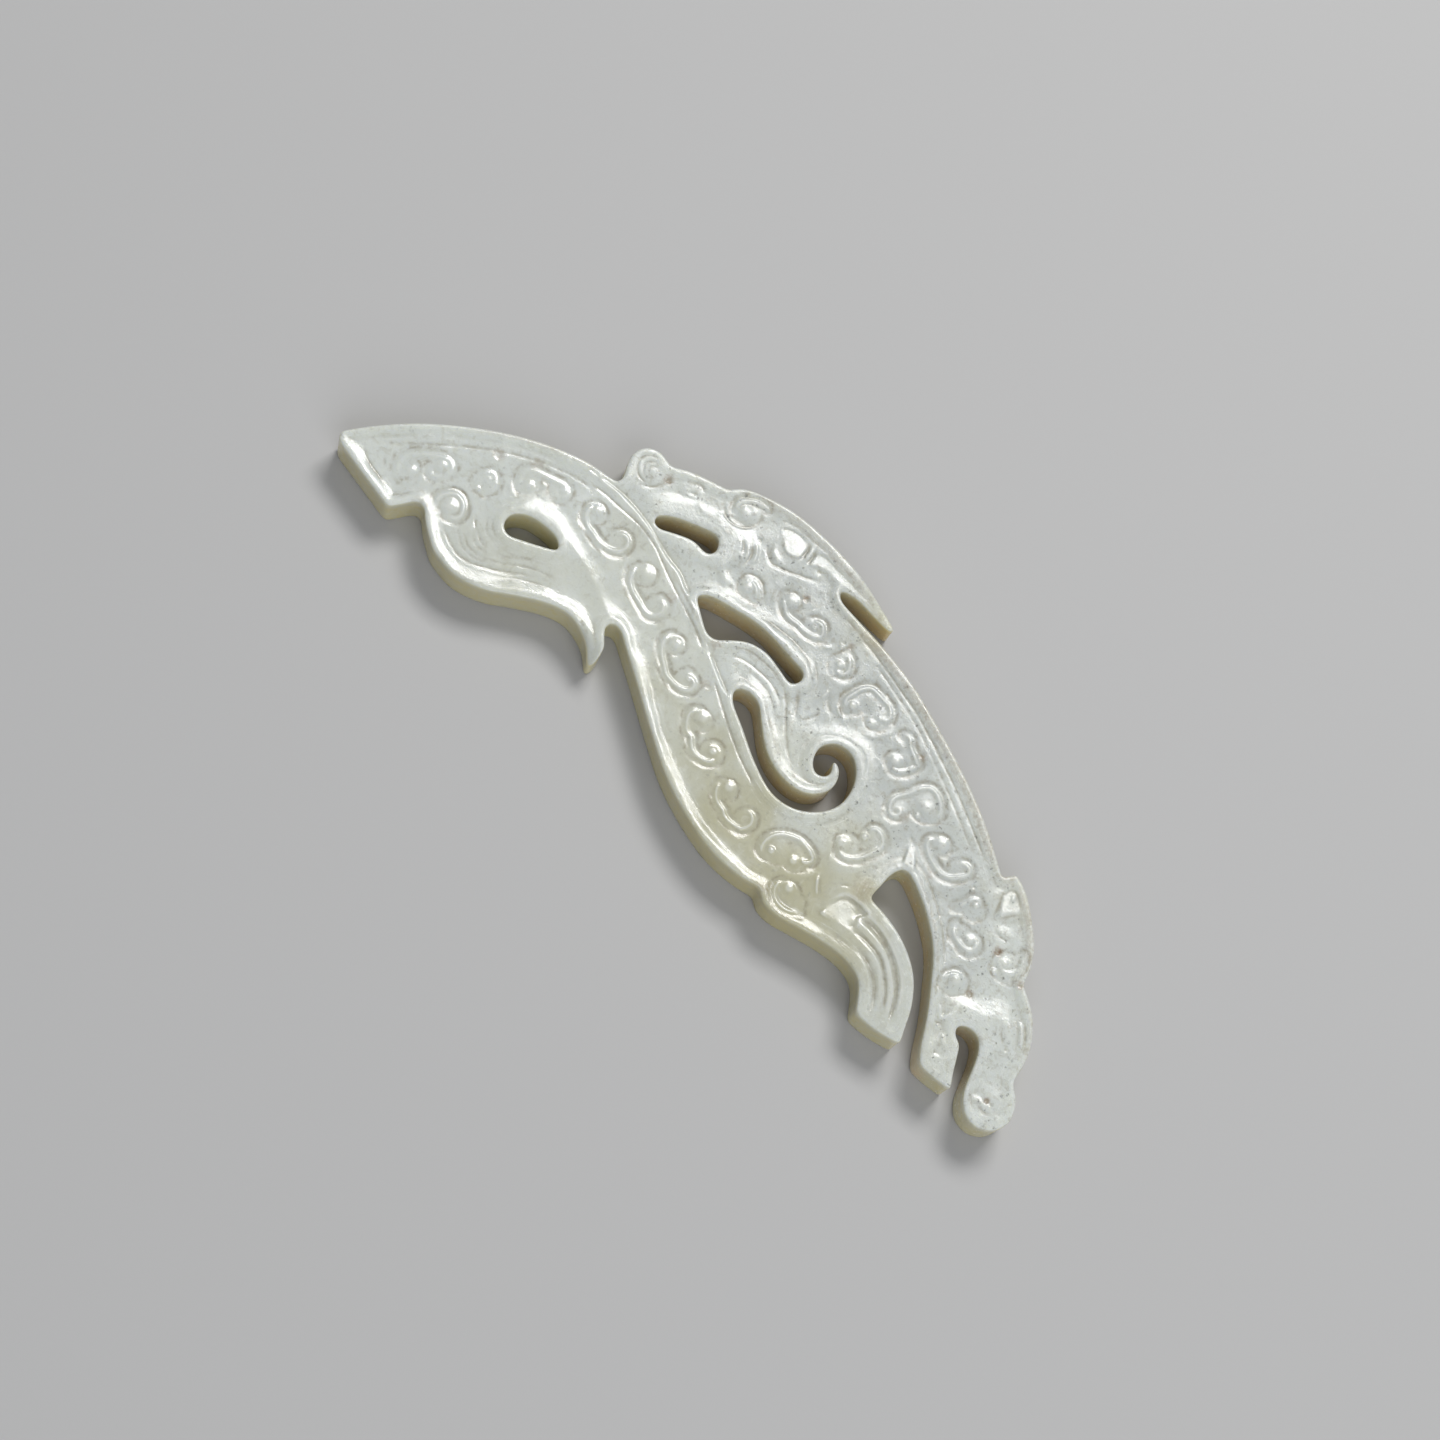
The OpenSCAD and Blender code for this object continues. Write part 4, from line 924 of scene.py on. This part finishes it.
def back_layer(loops, E):
    """Points of the plain back, the edges' first, and its triangles"""
    rim = np.concatenate(loops)
    ring, ring_e = rings(loops, BACK_INSETS, E)
    step = np.arange(-BACK_SPAN, BACK_SPAN, BACK_STEP)
    x, y = np.meshgrid(step, step)
    grid = np.stack([x.ravel() + 0.5 * BACK_STEP * (np.arange(x.size) // len(step) % 2), y.ravel()], 1)
    grid = grid[np.all((grid > (LEFT, LOW)) & (grid < (RIGHT, HIGH)), axis=1)]
    grid = grid[sample(E, grid) > BACK_INSETS[-1] + BACK_GAP]
    xy = np.concatenate([rim, ring, grid])
    e = np.concatenate([np.zeros(len(rim)), ring_e, np.full(len(grid), BACK_R)])
    return np.column_stack([xy, rounding(e, BACK_R)]), triangulate(loops, xy[len(rim):], E)


def wall_layers(loops, top, foot):
    """Rings of points between the face's edge and the back's, a little uneven"""
    rim, into = np.concatenate(loops), np.concatenate([inward(p) for p in loops])
    wave = sample(noise(*WALL_FIELD) + WALL_FINE * noise(*WALL_FINE_FIELD), rim)
    layers = []
    for share in WALL_RINGS:
        shift = WALL_WAVE * (WALL_EVEN + (1 - WALL_EVEN) * wave) * math.sin(math.pi * share)
        xy = rim + into * shift[:, None]
        layers.append(np.column_stack([xy, foot + share * (top - foot)]))
    return layers


def wall_quads(loops, levels):
    """Quads between the rings of points that start at the levels"""
    quads, start = [], 0
    for p in loops:
        n = len(p)
        for a, b in zip(levels[:-1], levels[1:]):
            for k in range(n):
                u, v = start + k, start + (k + 1) % n
                quads.append((a + v, a + u, b + u, b + v))
        start += n
    return quads


def make_skin(E, H, maps):
    """The plaque as one closed mesh, with the maps as attributes of its points"""
    loops = edge_loops()
    count = sum(len(p) for p in loops)
    face, face_tris = face_layer(loops, E, H)
    back, back_tris = back_layer(loops, E)
    layers = [face] + wall_layers(loops, face[:count, 2], back[:count, 2]) + [back]
    levels = [int(s) for s in np.cumsum([0] + [len(c) for c in layers[:-1]])]
    co = np.concatenate(layers)
    polys = face_tris + [tuple(levels[-1] + v for v in reversed(f)) for f in back_tris]
    polys += wall_quads(loops, levels)
    mesh = bpy.data.meshes.new("carved_plaque")
    mesh.from_pydata(((co - (*CENTRE, 0)) * MM).tolist(), [], [tuple(int(v) for v in f) for f in polys])
    mesh.validate()
    mesh.update()
    mesh.shade_smooth()
    for name, field in {**maps, "edge": np.maximum(E, 0)}.items():
        layer = mesh.attributes.new(name, "FLOAT", "POINT")
        layer.data.foreach_set("value", sample(field, co[:, :2]).astype(np.float32))
    obj = bpy.data.objects.new("carved_plaque", mesh)
    bpy.context.scene.collection.objects.link(obj)
    print("skin", len(co), "points", sum(len(f) - 2 for f in polys), "triangles")
    return obj


# Maps of the stone

# Warm zones: x, y, radius, share
WARMTH = [
    (19, 2.0, 9, 1.0), (9, 3.0, 9, 0.85), (0, 6.0, 8, 0.7), (-8, 9.5, 8, 0.45), (26, 3.0, 7, 0.75),
    (33, 2.0, 6, 0.45), (-16, 8, 9, 0.35), (-30, 1.5, 10, 0.4), (19.5, 11, 6, 0.45), (8, 12.5, 6, 0.4),
    (3, 31.8, 5, 0.7), (24.3, 8.5, 3, 1.0), (-20, 13, 9, 0.35), (44, 2, 4, 0.3), (37, 21, 4, 0.4),
    (28, 6, 4, 0.7),
]
# Greyer zones, along the arch: x, y, radius, share
GREYNESS = [
    (-10, 28, 7, 0.7), (-2, 27, 8, 1.0), (7, 25, 8, 1.0), (15, 22, 8, 0.9), (23, 18, 7, 0.8),
    (30, 16, 6, 0.7), (36, 11, 5, 0.6), (-19, 27, 5, 0.4), (30, 4, 6, 0.8), (36, 1, 4, 0.5),
    (-32, 0.8, 5, 0.6), (-6, 33.6, 3, 0.6), (8, 29.6, 2.5, 0.7),
]
# Stains: x, y, radius, share
STAINS = [
    (39.35, 15.2, 0.55, 1.0), (-24.8, 25.5, 0.6, 0.8), (-4.2, 27.6, 0.5, 0.8), (43.8, 14.3, 0.5, 0.8),
    (-14.4, 16, 0.6, 0.5), (50.05, 2.25, 0.4, 0.8), (40.55, 9.35, 0.5, 0.8), (3.3, 27.6, 0.45, 0.6),
    (-4.4, 11.8, 0.6, 0.5), (-7.2, 15.9, 0.6, 0.5), (-39.5, 12.8, 0.7, 0.5), (-36, 15.3, 0.7, 0.5),
    (-31.5, 12.2, 0.5, 0.4), (17.8, 24.7, 0.6, 0.5), (28, 15.6, 0.5, 0.4), (21.5, 18, 0.6, 0.4),
    (24.3, 8.5, 1.3, 0.35), (34.2, 22.0, 0.8, 0.5), (16.3, 0.4, 0.7, 0.4),
]
# Outer edges with a brownish skin: points, width, share
WEATHERED = [
    (STRETCHES[3][1:7], 1.3, 0.18),
    (STRETCHES[6], 1.1, 0.34),
    (STRETCHES[8], 1.0, 0.30),
    (STRETCHES[0][3:], 0.5, 0.25),
    (STRETCHES[2], 0.5, 0.22),
    (STRETCHES[9], 0.5, 0.20),
]
WEATHER_REACH, WEATHER_SOFT, WEATHER_FADE = 3.0, 0.7, 4.0
ZONE_EDGE, ZONE_BLUR = 1.25, 1.0  # where a zone ends, in its radii
ZONE_WAVER, ZONE_RIPPLE = (0.1, 5.0), (0.06, 1.7)  # share, size
STAIN_EDGE = 1.5
STAIN_EVEN, STAIN_MOTTLE, STAIN_FIELD = 0.75, 0.35, (0.35, 33)
RISE_BLUR = 0.35
# Cleaner stretches, with few specks: middle line, least share of specks
CLEANER = [(BAND_MIDDLE, 0.3), (WING_MIDDLE, 0.12)]
CLEAN_REACH, CLEAN_FROM, CLEAN_SOFT = 7.0, 4.2, 2.4
# Walls that light shines through: every opening but the wing's, and the gaps beside horn, leg and jaw
PIERCED = OPENINGS[1:] + [STRETCHES[5], STRETCHES[14], STRETCHES[11]]
PIERCED_REACH, PIERCED_WIDE, PIERCED_SOFT = 3.0, 2.0, 1.4
OUTLINE_STEP = 0.5


def zones(spots, seed):
    """Soft round zones with wavering edges"""
    X, Y = np.meshgrid(GX, GY)
    z = np.zeros_like(X)
    for x, y, r, share in spots:
        z = np.maximum(z, share * smooth(ZONE_EDGE - np.hypot(X - x, Y - y) / r))
    (waver, size), (ripple, fine) = ZONE_WAVER, ZONE_RIPPLE
    return np.clip(blur(z, ZONE_BLUR) + waver * noise(size, seed) + ripple * noise(fine, seed + 1), 0, 1)


def stain_map():
    """Brown spots, and brownish skin along the weathered edges"""
    stain = np.zeros((NY, NX))
    for x, y, r, share in STAINS:
        rows, cols = window(x - 2 * r, x + 2 * r, y - 2 * r, y + 2 * r)
        spot = share * smooth(STAIN_EDGE - from_point(x, y, rows, cols) / r)
        stain[rows, cols] = np.maximum(stain[rows, cols], spot)
    stain *= STAIN_EVEN + STAIN_MOTTLE * noise(*STAIN_FIELD)
    for points, wide, share in WEATHERED:
        p = curve(points, OUTLINE_STEP)
        rows, cols, d, _ = distance(p, WEATHER_REACH)
        fade = smooth(from_ends(p, rows, cols) / WEATHER_FADE)
        skin = share * smooth((wide - d) / WEATHER_SOFT + 0.5) * fade
        stain[rows, cols] = np.maximum(stain[rows, cols], skin)
    return np.clip(stain, 0, 1)


def speckle_map():
    """Share of the specks, 1 but in the cleaner stretches"""
    share = np.full((NY, NX), 1.0)
    for points, least in CLEANER:
        rows, cols, d, _ = distance(curve(points, 1.0), CLEAN_REACH)
        here = least + (1 - least) * smooth((d - CLEAN_FROM) / CLEAN_SOFT)
        share[rows, cols] = np.minimum(share[rows, cols], here)
    return share


def pierced_map():
    """1 on the walls that light shines through"""
    near = np.zeros((NY, NX))
    for points in PIERCED:
        rows, cols, d, _ = distance(curve(points, OUTLINE_STEP), PIERCED_REACH)
        near[rows, cols] = np.maximum(near[rows, cols], smooth((PIERCED_WIDE - d) / PIERCED_SOFT))
    return near


def tone_maps(H, soil):
    """The maps that the stone's nodes read, by attribute"""
    return {"warm": zones(WARMTH, 31), "grey": zones(GREYNESS, 36), "stain": stain_map(),
            "rise": H - blur(H, RISE_BLUR), "soil": soil, "speckle": speckle_map(), "pierced": pierced_map()}


# The stone

# Colours, linear: pale tail, grey arch, neutral band, warm foot, walls (olive, partly painted shade), stains,
# specks
COOL, GREY, NEUTRAL, WARM = (0.655, 0.69, 0.655), (0.52, 0.55, 0.53), (0.635, 0.66, 0.60), (0.51, 0.50, 0.36)
WALL_OLIVE_AND_SHADE, DEEP, BROWN, SPECK = (0.62, 0.55, 0.27), (0.44, 0.43, 0.34), (0.32, 0.23, 0.15), (0.22, 0.23, 0.21)
# Pale, soil, and the tan of the painted glow where light shines through the walls
PALE, SOIL, GLOW_TAN = (0.72, 0.74, 0.70), (0.30, 0.265, 0.19), (0.62, 0.45, 0.20)
SPECK_SIZES = ((1.25, 0.24), (0.55, 0.16))  # spread of the specks, and their size in it
BUMP_HEIGHT, BUMP_STRENGTH = 0.00007, 0.5
SURFACE = {
    "IOR": 1.61, "Specular IOR Level": 0.5, "Subsurface Weight": 0.55,
    "Subsurface Radius": (1.0, 0.95, 0.7), "Subsurface Scale": 0.0016,
}


class Nodes:
    """Adds nodes to a material and links them; holds the sockets that its steps share"""

    def __init__(self, material):
        material.use_nodes = True
        self.tree = material.node_tree
        self.tree.nodes.clear()
        self.x = 0
        place = self.add("ShaderNodeTexCoord").outputs["Object"]
        self.mm = self.vector("MULTIPLY", place, (1000, 1000, 1000))
        self.normal = self.split(self.add("ShaderNodeNewGeometry").outputs["Normal"])
        self.side = self.remap(self.normal["Z"], 0.75, 0.25)
        self.cloud = self.noise(0.16, 4.0, 0.55, 0.4)
        self.veil = self.noise(0.9, 5.0, 0.6, 0.8)

    def add(self, kind, inputs=None, **settings):
        n = self.tree.nodes.new(kind)
        self.x += 170
        n.location = (self.x, 0)
        for key, value in settings.items():
            setattr(n, key, value)
        for key, value in (inputs or {}).items():
            if isinstance(value, bpy.types.NodeSocket):
                self.tree.links.new(value, n.inputs[key])
            else:
                n.inputs[key].default_value = value
        return n

    def value(self, name):
        return self.add("ShaderNodeAttribute", attribute_name=name).outputs["Fac"]

    def math(self, kind, a, b, clamp=False):
        return self.add("ShaderNodeMath", {0: a, 1: b}, operation=kind, use_clamp=clamp).outputs[0]

    def times(self, a, b):
        return self.math("MULTIPLY", a, b)

    def plus(self, a, b, clamp=False):
        return self.math("ADD", a, b, clamp)

    def vector(self, kind, a, b):
        return self.add("ShaderNodeVectorMath", {0: a, 1: b}, operation=kind).outputs[0]

    def split(self, vector):
        return self.add("ShaderNodeSeparateXYZ", {0: vector}).outputs

    def remap(self, x, low, high, to_low=0.0, to_high=1.0):
        keys = {"Value": x, "From Min": low, "From Max": high, "To Min": to_low, "To Max": to_high}
        return self.add("ShaderNodeMapRange", keys, interpolation_type="SMOOTHSTEP").outputs[0]

    def mix(self, share, a, b):
        a = (*a, 1) if isinstance(a, tuple) else a
        b = (*b, 1) if isinstance(b, tuple) else b
        return self.add("ShaderNodeMix", {0: share, 6: a, 7: b}, data_type="RGBA").outputs[2]

    def noise(self, scale, detail=3.0, rough=0.5, warp=0.0, place=None):
        place = self.mm if place is None else place
        keys = {"Vector": place, "Scale": scale, "Detail": detail, "Roughness": rough, "Distortion": warp}
        return self.add("ShaderNodeTexNoise", keys).outputs["Fac"]


def specks(n, scale, size):
    """Small ragged dark specks, in drifts"""
    torn = n.add("ShaderNodeTexNoise", {"Vector": n.mm, "Scale": 3.5, "Detail": 3.0}).outputs["Color"]
    place = n.vector("ADD", n.mm, n.vector("MULTIPLY", torn, (0.7, 0.7, 0.7)))
    cells = n.add("ShaderNodeTexVoronoi", {"Vector": place, "Scale": scale, "Randomness": 1.0})
    drift = n.remap(n.noise(0.6, 3.0, 0.6), 0.38, 0.58, 0.1, 0.85)
    return n.times(n.times(n.remap(cells.outputs["Distance"], size, 0.3 * size), n.value("speckle")), drift)


def body_color(n):
    """Cool to neutral to warm, with cloudy veins and soil in spots"""
    warm = n.plus(n.value("warm"), n.remap(n.cloud, 0.3, 0.7, -0.12, 0.12), clamp=True)
    color = n.mix(n.value("grey"), COOL, GREY)
    color = n.mix(n.remap(warm, 0.0, 0.35), color, n.mix(n.times(n.value("grey"), 0.6), NEUTRAL, GREY))
    color = n.mix(n.remap(warm, 0.3, 1.0), color, WARM)
    color = n.mix(n.remap(n.veil, 0.52, 0.72, 0.0, 0.25), color, PALE)
    color = n.mix(n.remap(n.veil, 0.48, 0.30, 0.0, 0.32), color, DEEP)
    color = n.mix(n.remap(n.noise(4.5, 4.0, 0.7), 0.50, 0.28, 0.0, 0.22), color, DEEP)
    mottled = n.times(n.remap(n.noise(1.5, 5.0, 0.65, 0.5), 0.52, 0.68, 0.0, 0.34), n.value("speckle"))
    return n.mix(mottled, color, SOIL)


def carving_color(n, color):
    """Darker in the hollows and paler on the crests, by the relief's local rise, and soil in the cuts"""
    rise = n.value("rise")
    color = n.mix(n.remap(rise, -0.004, -0.06, 0.0, 0.50), color, DEEP)
    color = n.mix(n.remap(rise, 0.012, 0.06, 0.0, 0.50), color, PALE)
    dirt = n.remap(n.noise(1.2, 4.0, 0.6), 0.38, 0.62, 0.10, 0.75)
    return n.mix(n.times(n.value("soil"), dirt), color, SOIL)


def wall_color(n, color):
    """Side walls are more olive, partly the stone's own colour and partly painted shade, least on the convex
    edge, with a painted tan glow where light shines through
    """
    level = n.split(n.mm)["Z"]
    # Painted shade: the olive share grows towards the back and halves on walls that face the key light
    share = n.times(n.remap(n.veil, 0.3, 0.7, 0.62, 0.88), n.remap(level, 4.9, 3.2, 0.5, 1.0))
    share = n.times(share, n.remap(n.normal["Y"], 0.1, 0.7, 1.0, 0.5))
    # Painted glow: tan on the walls that light shines through, more towards the back
    tan = n.times(n.value("pierced"), n.remap(level, 4.6, 1.2, 0.25, 0.95))
    return n.mix(n.times(n.side, share), color, n.mix(tan, WALL_OLIVE_AND_SHADE, GLOW_TAN))


def spot_color(n, color):
    """Specks, fine grain and stains, fewer on the walls"""
    fewer = n.remap(n.side, 0.0, 1.0, 1.0, 0.45)
    for scale, size in SPECK_SIZES:
        color = n.mix(n.times(specks(n, scale, size), fewer), color, SPECK)
    grain = n.times(n.remap(n.noise(3.5, 4.0, 0.65), 0.60, 0.74, 0.0, 0.45), fewer)
    color = n.mix(n.times(grain, n.value("speckle")), color, SPECK)
    blotched = n.times(n.remap(n.noise(3.0, 3.0), 0.35, 0.6, 0.35, 0.9), n.remap(n.side, 0.0, 1.0, 1.0, 0.4))
    return n.mix(n.times(n.value("stain"), blotched), color, BROWN)


def wear(n, color):
    """Fine lines along the edges, rubbed white in places, and faint pitting: colour, bump and roughness"""
    edge = n.value("edge")
    lines = n.add("ShaderNodeCombineXYZ", {0: n.times(edge, 3.2), 1: n.times(n.cloud, 12.0)}).outputs[0]
    streak = n.noise(1.0, 4.0, 0.65, place=lines)
    near = n.remap(edge, 2.6, 1.2)
    rubbed = n.times(n.remap(streak, 0.50, 0.66), n.times(near, n.remap(n.side, 0.6, 0.1)))
    patchy = n.remap(n.noise(0.9, 4.0, 0.6), 0.42, 0.60, 0.10, 0.55)
    color = n.mix(n.times(rubbed, patchy), color, PALE)
    grained = n.plus(n.remap(n.value("speckle"), 0.2, 1.0, 0.3, 1.0), n.times(near, 0.35))
    worn = n.times(grained, n.remap(n.noise(0.55, 3.0, 0.6), 0.38, 0.62, 0.25, 0.75))
    high = n.times(streak, n.remap(edge, 2.6, 1.2, 0.1, 0.5))
    high = n.plus(high, n.times(n.noise(3.2, 5.0, 0.7), worn))
    high = n.times(high, n.remap(n.side, 0.0, 1.0, 1.0, 0.35))
    keys = {"Strength": BUMP_STRENGTH, "Distance": BUMP_HEIGHT, "Height": high}
    bump = n.add("ShaderNodeBump", keys).outputs[0]
    rough = n.remap(n.noise(1.8, 5.0, 0.7), 0.3, 0.7, 0.07, 0.20)
    rough = n.plus(rough, n.plus(n.times(rubbed, 0.10), n.times(grained, 0.06)))
    return color, bump, rough


def jade_material():
    material = bpy.data.materials.new("jade")
    n = Nodes(material)
    color = spot_color(n, wall_color(n, carving_color(n, body_color(n))))
    color, bump, rough = wear(n, color)
    keys = {"Base Color": color, "Roughness": rough, "Normal": bump, **SURFACE}
    n.add("ShaderNodeOutputMaterial", {0: n.add("ShaderNodeBsdfPrincipled", keys).outputs[0]})
    return material


# Floor and light
FLOOR_HALF, FLOOR_COLOR, FLOOR_ROUGH = 3.0, (0.50, 0.50, 0.50, 1), 0.8
# Lights: place, size, watts, colour
KEY = ((-0.12, 0.48, 0.625), (0.38, 0.26), 4.2, (1.0, 0.99, 0.97))
FILL = ((0.45, -0.35, 0.50), (0.7, 0.7), 2.5, (0.97, 0.98, 1.0))
STUDIO_COLOR, STUDIO_SHARE = (0.94, 0.96, 1.0, 1), 0.25


def make_floor():
    mesh = bpy.data.meshes.new("floor")
    r = FLOOR_HALF
    mesh.from_pydata([(-r, -r, 0), (r, -r, 0), (r, r, 0), (-r, r, 0)], [], [(0, 1, 2, 3)])
    obj = bpy.data.objects.new("floor", mesh)
    bpy.context.scene.collection.objects.link(obj)
    m = bpy.data.materials.new("floor_matt")
    m.use_nodes = True
    s = m.node_tree.nodes["Principled BSDF"]
    s.inputs["Base Color"].default_value = FLOOR_COLOR
    s.inputs["Roughness"].default_value = FLOOR_ROUGH
    mesh.materials.append(m)


def area_light(name, at, size, power, color):
    """A soft light that points at the plaque"""
    data = bpy.data.lights.new(name, "AREA")
    data.shape, data.size, data.size_y = "RECTANGLE", size[0], size[1]
    data.energy, data.color = power, color
    obj = bpy.data.objects.new(name, data)
    obj.location = at
    obj.rotation_euler = (-Vector(at)).to_track_quat("-Z", "Y").to_euler()
    bpy.context.scene.collection.objects.link(obj)


def make_lights():
    area_light("key", *KEY)
    area_light("fill", *FILL)
    world = bpy.data.worlds.new("studio")
    world.use_nodes = True
    background = world.node_tree.nodes["Background"].inputs
    background[0].default_value, background[1].default_value = STUDIO_COLOR, STUDIO_SHARE
    bpy.context.scene.world = world
    bpy.context.scene.view_settings.view_transform = "Standard"


edge_map, height_map, soil_map = relief()
plaque = make_skin(edge_map, height_map, tone_maps(height_map, soil_map))
plaque.data.materials.append(jade_material())
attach(plaque, "root")
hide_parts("plaque")
make_floor()
make_lights()
